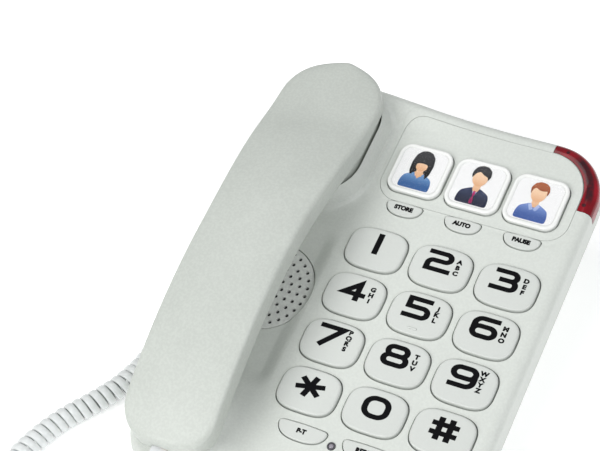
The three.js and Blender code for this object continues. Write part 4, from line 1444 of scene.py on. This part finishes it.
def handset_slab(name, inset, low, high, spacing=1.6):
    """A body over the handset's plan, inset from its edge."""
    def columns(left, right):
        width = right - left
        steps = EDGE_STEPS * min(1, width / 18)
        inner = np.linspace(left + steps[-1], right - steps[-1], 22)[1:-1]
        return np.concatenate([left + steps, inner, right - steps[::-1]])

    rows = graded(HANDSET["mouth"] + inset, HANDSET["ear"] - inset, spacing)
    return slab(
        name, rows, columns, lambda y: AXIS - float(handset_width(y, inset, LEFT_FULLNESS)),
        lambda y: AXIS + float(handset_width(y, inset)), low, high,
    )


def socket_tool():
    """The hole in the handset's mouth end that takes the plug."""
    y, z = HANDSET_JACK
    return box(AXIS - 4.1, AXIS + 4.1, y - 3, y + 13, z - 3.5, z + 3.5)


class BuildHandset(bpy.types.Operator):
    """Build the handset's two shells"""

    bl_idname = "phone.handset"
    bl_label = "Handset"

    def execute(self, context):
        sizes = context.scene.phone_handset
        depth = distance_inside(handset_outline())

        def crowned(x, y):
            across = np.clip((x - AXIS) / handset_width(y), -1, 1)
            return handset_arch(y) - sizes.crown * across**2

        def top(x, y):
            return crowned(x, y) - quarter_fall(depth(x, y), sizes.edge)

        def band(x, y):
            return handset_arch(y) - HANDSET["drop"]

        outer = handset_slab("handset_top", 0, band, top)
        hollow = handset_slab(
            "hollow", 2.2, lambda x, y: band(x, y) - 2, lambda x, y: crowned(x, y) - 2.4, 4)
        combine(outer, hollow)
        combine(outer, socket_tool())
        finish_piece(outer, "handset_top", "handset", "handset", "case",
                     nodes=["handset_outer_shell"], angle=45)

        inset = 0.45
        inner_depth = distance_inside(handset_outline(inset))

        def under(x, y):
            floor = np.where(y > 0, EAR["rim"], MOUTH["rim"]) + 1.5
            low = np.maximum(handset_arch(y) - HANDSET["grip"], floor)
            return np.minimum(low + quarter_fall(inner_depth(x, y), 4.5), band(x, y) - 0.6)

        inner = handset_slab("handset_bottom", inset, under, lambda x, y: band(x, y) - 0.3)
        for end in (EAR, MOUTH):
            combine(inner, self.block(end), "UNION")
        holes = [(EAR["x"] + across, EAR["y"] + along, 1.1) for across, along in hole_places(2, 5)]
        holes += [(MOUTH["x"] + across, MOUTH["y"] + 4, 0.9) for across in (-4, 0, 4)]
        low, high = BLOCK_FOOT - 1, BLOCK_FOOT + 3
        combine(inner, join([cylinder(x, y, low, high, radius, 16) for x, y, radius in holes]))
        combine(inner, socket_tool())
        finish_piece(inner, "handset_bottom", "handset", "handset", "case",
                     nodes=["handset_inner_shell"], angle=40)
        return {"FINISHED"}

    def block(self, end):
        """One end of the handset, from its flat foot in the well up into the grip."""
        low = block_outline(end, 0, 128)
        base = end["rim"] + 1
        foot_edge = ((-2.5, 0), (-1.2, 0.25), (-0.35, 1), (0, 2.4))
        rings = profile(low, [(out, BLOCK_FOOT + up) for out, up in foot_edge] + [(0, base)])
        for t in (0.2, 0.4, 0.6, 0.8, 1):
            ring = []
            for x, y in grown(low, end["lean"] * t):
                top = float(handset_arch(np.array(y))) - HANDSET["drop"] - 0.6
                ring.append((x, y, base + (max(top, base + 0.5) - base) * t))
            rings.append(ring)
        return loft("block", rings)


# ---------------------------------------------------------------- cord and plugs


def route_points(points, count):
    """Evenly spaced points on a centripetal Catmull-Rom curve through the given ones."""
    knots = [Vector(p) for p in points]
    knots = [2 * knots[0] - knots[1], *knots, 2 * knots[-1] - knots[-2]]
    line = []
    for a, b, c, d in zip(knots, knots[1:], knots[2:], knots[3:]):
        t = [0.0]
        for p, q in ((a, b), (b, c), (c, d)):
            t.append(t[-1] + math.sqrt((q - p).length))
        for i in range(40):
            s = t[1] + (t[2] - t[1]) * i / 40
            ab = a + (b - a) * ((s - t[0]) / (t[1] - t[0]))
            bc = b + (c - b) * ((s - t[1]) / (t[2] - t[1]))
            cd = c + (d - c) * ((s - t[2]) / (t[3] - t[2]))
            abc = ab + (bc - ab) * ((s - t[0]) / (t[2] - t[0]))
            bcd = bc + (cd - bc) * ((s - t[1]) / (t[3] - t[1]))
            line.append(abc + (bcd - abc) * ((s - t[1]) / (t[2] - t[1])))
    line.append(knots[-2])
    line = np.array([tuple(p) for p in line])
    along = distances_along(line)
    return read_between(np.linspace(0, along[-1], count), along, line), along[-1]


class BuildCord(bpy.types.Operator):
    """Build the coiled cord and its two plugs"""

    bl_idname = "phone.cord"
    bl_label = "Coiled cord"

    def execute(self, context):
        sizes = context.scene.phone_cord
        plugs = [self.plug("base_plug", "base"), self.plug("handset_plug", "handset")]
        path, wide, thick = self.wound(sizes)
        angles = 2 * np.pi * np.arange(CORD_SIDES) / CORD_SIDES
        shape = lambda v: np.sign(v) * np.abs(v) ** 0.75  # flatter than a round cord
        rings = [
            [tuple(p + w * shape(math.cos(a)) * sizes.width / 2 + t * shape(math.sin(a)) * sizes.thick / 2)
             for a in angles] for p, w, t in zip(path, wide, thick)
        ]
        cord = self.tube("handset_cord_coiled", rings)
        activate(cord)
        bpy.ops.object.shade_smooth()
        cord.matrix_world = TABLE
        bpy.ops.object.transform_apply(location=True, rotation=True, scale=True)
        cord.data.materials.append(FINISHES["cord"])
        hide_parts("handset_cord")
        way = [tuple(TABLE @ Vector(p)) for p in path]
        real = sum(math.dist(a, b) for a, b in zip(way, way[1:]))
        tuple(way[0])
        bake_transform(cord)
        return {"FINISHED"}

    def wound(self, sizes):
        """The wound cord's middle line, and the directions of its width and its thickness there."""
        line, length = route_points(CORD_ROUTE, ROUTE_STEPS)
        places = self.windings(sizes, length)
        at = places[:, 0] / length * (len(line) - 1)
        grid = np.arange(len(line))
        middle = read_between(at, grid, line)
        tangent = unit(np.gradient(line, axis=0))
        side = self.carried(tangent, np.array([0.0, 0.0, 1.0]))
        tangents = unit(read_between(at, grid, tangent))
        sides = read_between(at, grid, side)
        sides = unit(sides - tangents * np.sum(sides * tangents, 1, keepdims=True))
        angle = places[:, 1:2]
        outward = np.cos(angle) * sides + np.sin(angle) * np.cross(tangents, sides)
        path = middle + outward * (sizes.outside - sizes.thick / 2) * places[:, 2:3]
        run = unit(np.gradient(path, axis=0))
        wide = tangents - run * np.sum(tangents * run, 1, keepdims=True)
        straight = np.linalg.norm(wide, axis=1) < 0.5
        wide[straight] = np.cross(run, outward)[straight]
        wide = unit(wide)
        return path, wide, np.cross(wide, run)

    def windings(self, sizes, length):
        """Steps along the route: the distance, the angle turned and how fully the coil is open."""
        first, last = 0.045 * length, 0.935 * length  # where the coil starts and ends
        fine, coarse, ease = sizes.pitch / sizes.steps, 1.2, 7.0
        places, turn, s = [], 0.0, 0.0
        while s < length - 1.0:
            inside = float(smooth((s - first) / ease) * smooth((last - s) / ease))
            places.append((s, turn, inside))
            ds = coarse + (fine - coarse) * min(1, inside * 4)
            turn += 2 * math.pi * ds / sizes.pitch * inside
            s += ds
        return np.array([*places, (length, turn, 0.0)])

    def carried(self, tangent, start):
        """A side direction carried along the line without twist."""
        side = np.empty_like(tangent)
        here = start - tangent[0] * np.dot(start, tangent[0])
        for i, along in enumerate(tangent):
            here = here - along * np.dot(here, along)
            here /= np.linalg.norm(here)
            side[i] = here
        return side

    def tube(self, name, rings):
        """A closed tube through many rings."""
        count = len(rings[0])
        deselect()
        bpy.ops.mesh.primitive_circle_add(vertices=count, fill_type="NGON")
        obj = bpy.context.object
        obj.name = obj.data.name = name
        work = bmesh.new()
        lines = [[work.verts.new(p) for p in ring] for ring in rings]
        for a, b in zip(lines, lines[1:]):
            for k in range(count):
                n = (k + 1) % count
                work.faces.new((a[k], a[n], b[n], b[k]))
        work.faces.new(lines[0][::-1])
        work.faces.new(lines[-1])
        bmesh.ops.recalc_face_normals(work, faces=work.faces)
        work.to_mesh(obj.data)
        work.free()
        return obj

    def plug(self, node, body):
        """A clear modular plug: a body with a latch and four contacts, and a boot behind it."""
        if node == "base_plug":
            place = DECK @ Matrix.Translation((BASE_JACK[0] - 1, BASE_JACK[1], BASE_JACK[2]))
            place = place @ Matrix.Rotation(-math.pi / 2, 4, "Z")
        else:
            place = DECK @ Matrix.Translation((AXIS, *HANDSET_JACK))
        body_part = box(-3.8, 3.8, 0, 11, -3.2, 3.2, 0.35)
        latch = box(-1.6, 1.6, 0.5, 10, 3.1, 4.0, 0.2)
        latch.data.transform(Matrix.Translation((0, 0, -0.9)))
        combine(body_part, latch, "UNION")
        sleeve = [rounded(0, 0, 2.9 * k, 2.3 * k, 1.1 * k, 40) for k in (0.8, 0.86, 0.93, 1.0, 1.0)]
        backs = (-7, -5.5, -3.5, -1.5, 1)
        boot = loft("boot", [[(x, y, z) for x, z in ring] for ring, y in zip(sleeve, backs)])
        combine(body_part, boot, "UNION")
        finish_piece(body_part, node + "_clear", "plug", body, "clear_plug", place, nodes=[node])
        pins = [box(x - 0.28, x + 0.28, 6.5, 10.6, -3.26, -2.2, 0.08) for x in (-1.65, -0.55, 0.55, 1.65)]
        contacts = join(pins)
        finish_piece(contacts, node + "_contacts", "gold", body, "clear_plug", place)
        return body_part


# ---------------------------------------------------------------- what the frame keeps


class FinishFrame(bpy.types.Operator):
    """Give the frame's own small parts their finishes"""

    bl_idname = "phone.frame_parts"
    bl_label = "Frame parts"

    def execute(self, context):
        finishes = {
            "case": ["hook_plunger"],
            "dark": ["ringer_speaker", "keypad_membrane", "hook_switch", "line_jack", "handset_jack",
                     "ringer_switch", "receiver_capsule", "microphone"],
            "board": ["main_circuit_board", "ringer_lamp_board"],
            "steel": ["handset_weight", *(f"base_screw_{i}" for i in range(1, 5))],
            "rubber": [f"foot_{i}" for i in range(1, 5)],
        }
        for finish, nodes in finishes.items():
            for node in nodes:
                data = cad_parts[node].data
                data.materials.clear()
                data.materials.append(FINISHES[finish])
        return {"FINISHED"}


# ---------------------------------------------------------------- stage


class BuildStage(bpy.types.Operator):
    """Set the pale floor, the soft lights and the camera"""

    bl_idname = "phone.stage"
    bl_label = "Stage"

    def execute(self, context):
        stage = context.scene.phone_stage
        deselect()
        bpy.ops.mesh.primitive_plane_add(size=12, location=(0, 0, 0))
        floor = context.object
        floor.name = "floor"
        finish = Finish(
            "floor_paper", (0.97, 0.97, 0.97), 0.9, emission_color=(1, 1, 1, 1), emission_strength=0.3)
        floor.data.materials.append(finish.material)

        world = bpy.data.worlds.new("pale_room")
        context.scene.world = world
        world.use_nodes = True
        sky = world.node_tree.nodes["Background"]
        sky.inputs[0].default_value = (0.97, 0.985, 1.0, 1)
        sky.inputs[1].default_value = stage.sky

        self.light("top_light", (-0.5, 0.35, 1.2), 0.7, stage.top_power, (1.0, 1.0, 0.995))
        self.light("main_light", (-0.46, -0.95, 0.93), 1.1, stage.key_power, (1.0, 0.998, 0.99))
        self.light("fill_light", (0.9, -0.3, 1.0), 1.0, stage.fill_power, (0.98, 0.98, 1.0))

        camera_data = bpy.data.cameras.new("camera")
        camera_data.lens = stage.lens
        camera_data.sensor_width = 36
        camera = bpy.data.objects.new("camera", camera_data)
        context.collection.objects.link(camera)
        forward = Vector((-0.3769, 0.5363, -0.7552)).normalized()
        upward = Vector((-0.255, 0.7236, 0.6411))
        upward = (upward - forward * upward.dot(forward)).normalized()
        turn = Matrix((forward.cross(upward), upward, -forward)).transposed()
        camera.matrix_world = Matrix.Translation(TABLE @ Vector((261.9, -438, 720))) @ turn.to_4x4()
        context.scene.camera = camera
        context.scene.view_settings.view_transform = "Standard"
        return {"FINISHED"}

    def light(self, name, place, size, power, colour):
        data = bpy.data.lights.new(name, "AREA")
        data.shape = "DISK"
        data.size = size
        data.energy = power
        data.color = colour
        lamp = bpy.data.objects.new(name, data)
        bpy.context.collection.objects.link(lamp)
        lamp.location = place
        lamp.rotation_euler = (-Vector(place)).to_track_quat("-Z", "Y").to_euler()


class PhonePanel(bpy.types.Panel):
    """Steps that build the telephone"""

    bl_idname = "VIEW3D_PT_phone"
    bl_label = "Telephone"
    bl_space_type = "VIEW_3D"
    bl_region_type = "UI"
    bl_category = "Telephone"

    def draw(self, context):
        for step in STEPS:
            self.layout.operator(step.bl_idname)


GROUPS = {
    "phone_keys": PhoneKeys, "phone_handset": PhoneHandset, "phone_cord": PhoneCord,
    "phone_finish": PhoneFinish, "phone_stage": PhoneStage,
}
STEPS = (
    BuildStage, BuildCord, BuildTopCase, BuildLens, BuildLowerCase, BuildPanel, BuildGrille, BuildDialKeys,
    BuildMoonKeys, BuildPictureKeys, BuildStatusLamp, BuildHandset, FinishFrame,
)


def register():
    for name, group in GROUPS.items():
        bpy.utils.register_class(group)
        setattr(bpy.types.Scene, name, PointerProperty(type=group))
    for step in STEPS:
        bpy.utils.register_class(step)
    bpy.utils.register_class(PhonePanel)


def unregister():
    bpy.utils.unregister_class(PhonePanel)
    for step in reversed(STEPS):
        bpy.utils.unregister_class(step)
    for name, group in reversed(GROUPS.items()):
        delattr(bpy.types.Scene, name)
        bpy.utils.unregister_class(group)


def main():
    register()
    make_finishes(bpy.context.scene.phone_finish)
    for step in STEPS:
        family, name = step.bl_idname.split(".")
        getattr(getattr(bpy.ops, family), name)()


if __name__ == "__main__":
    main()
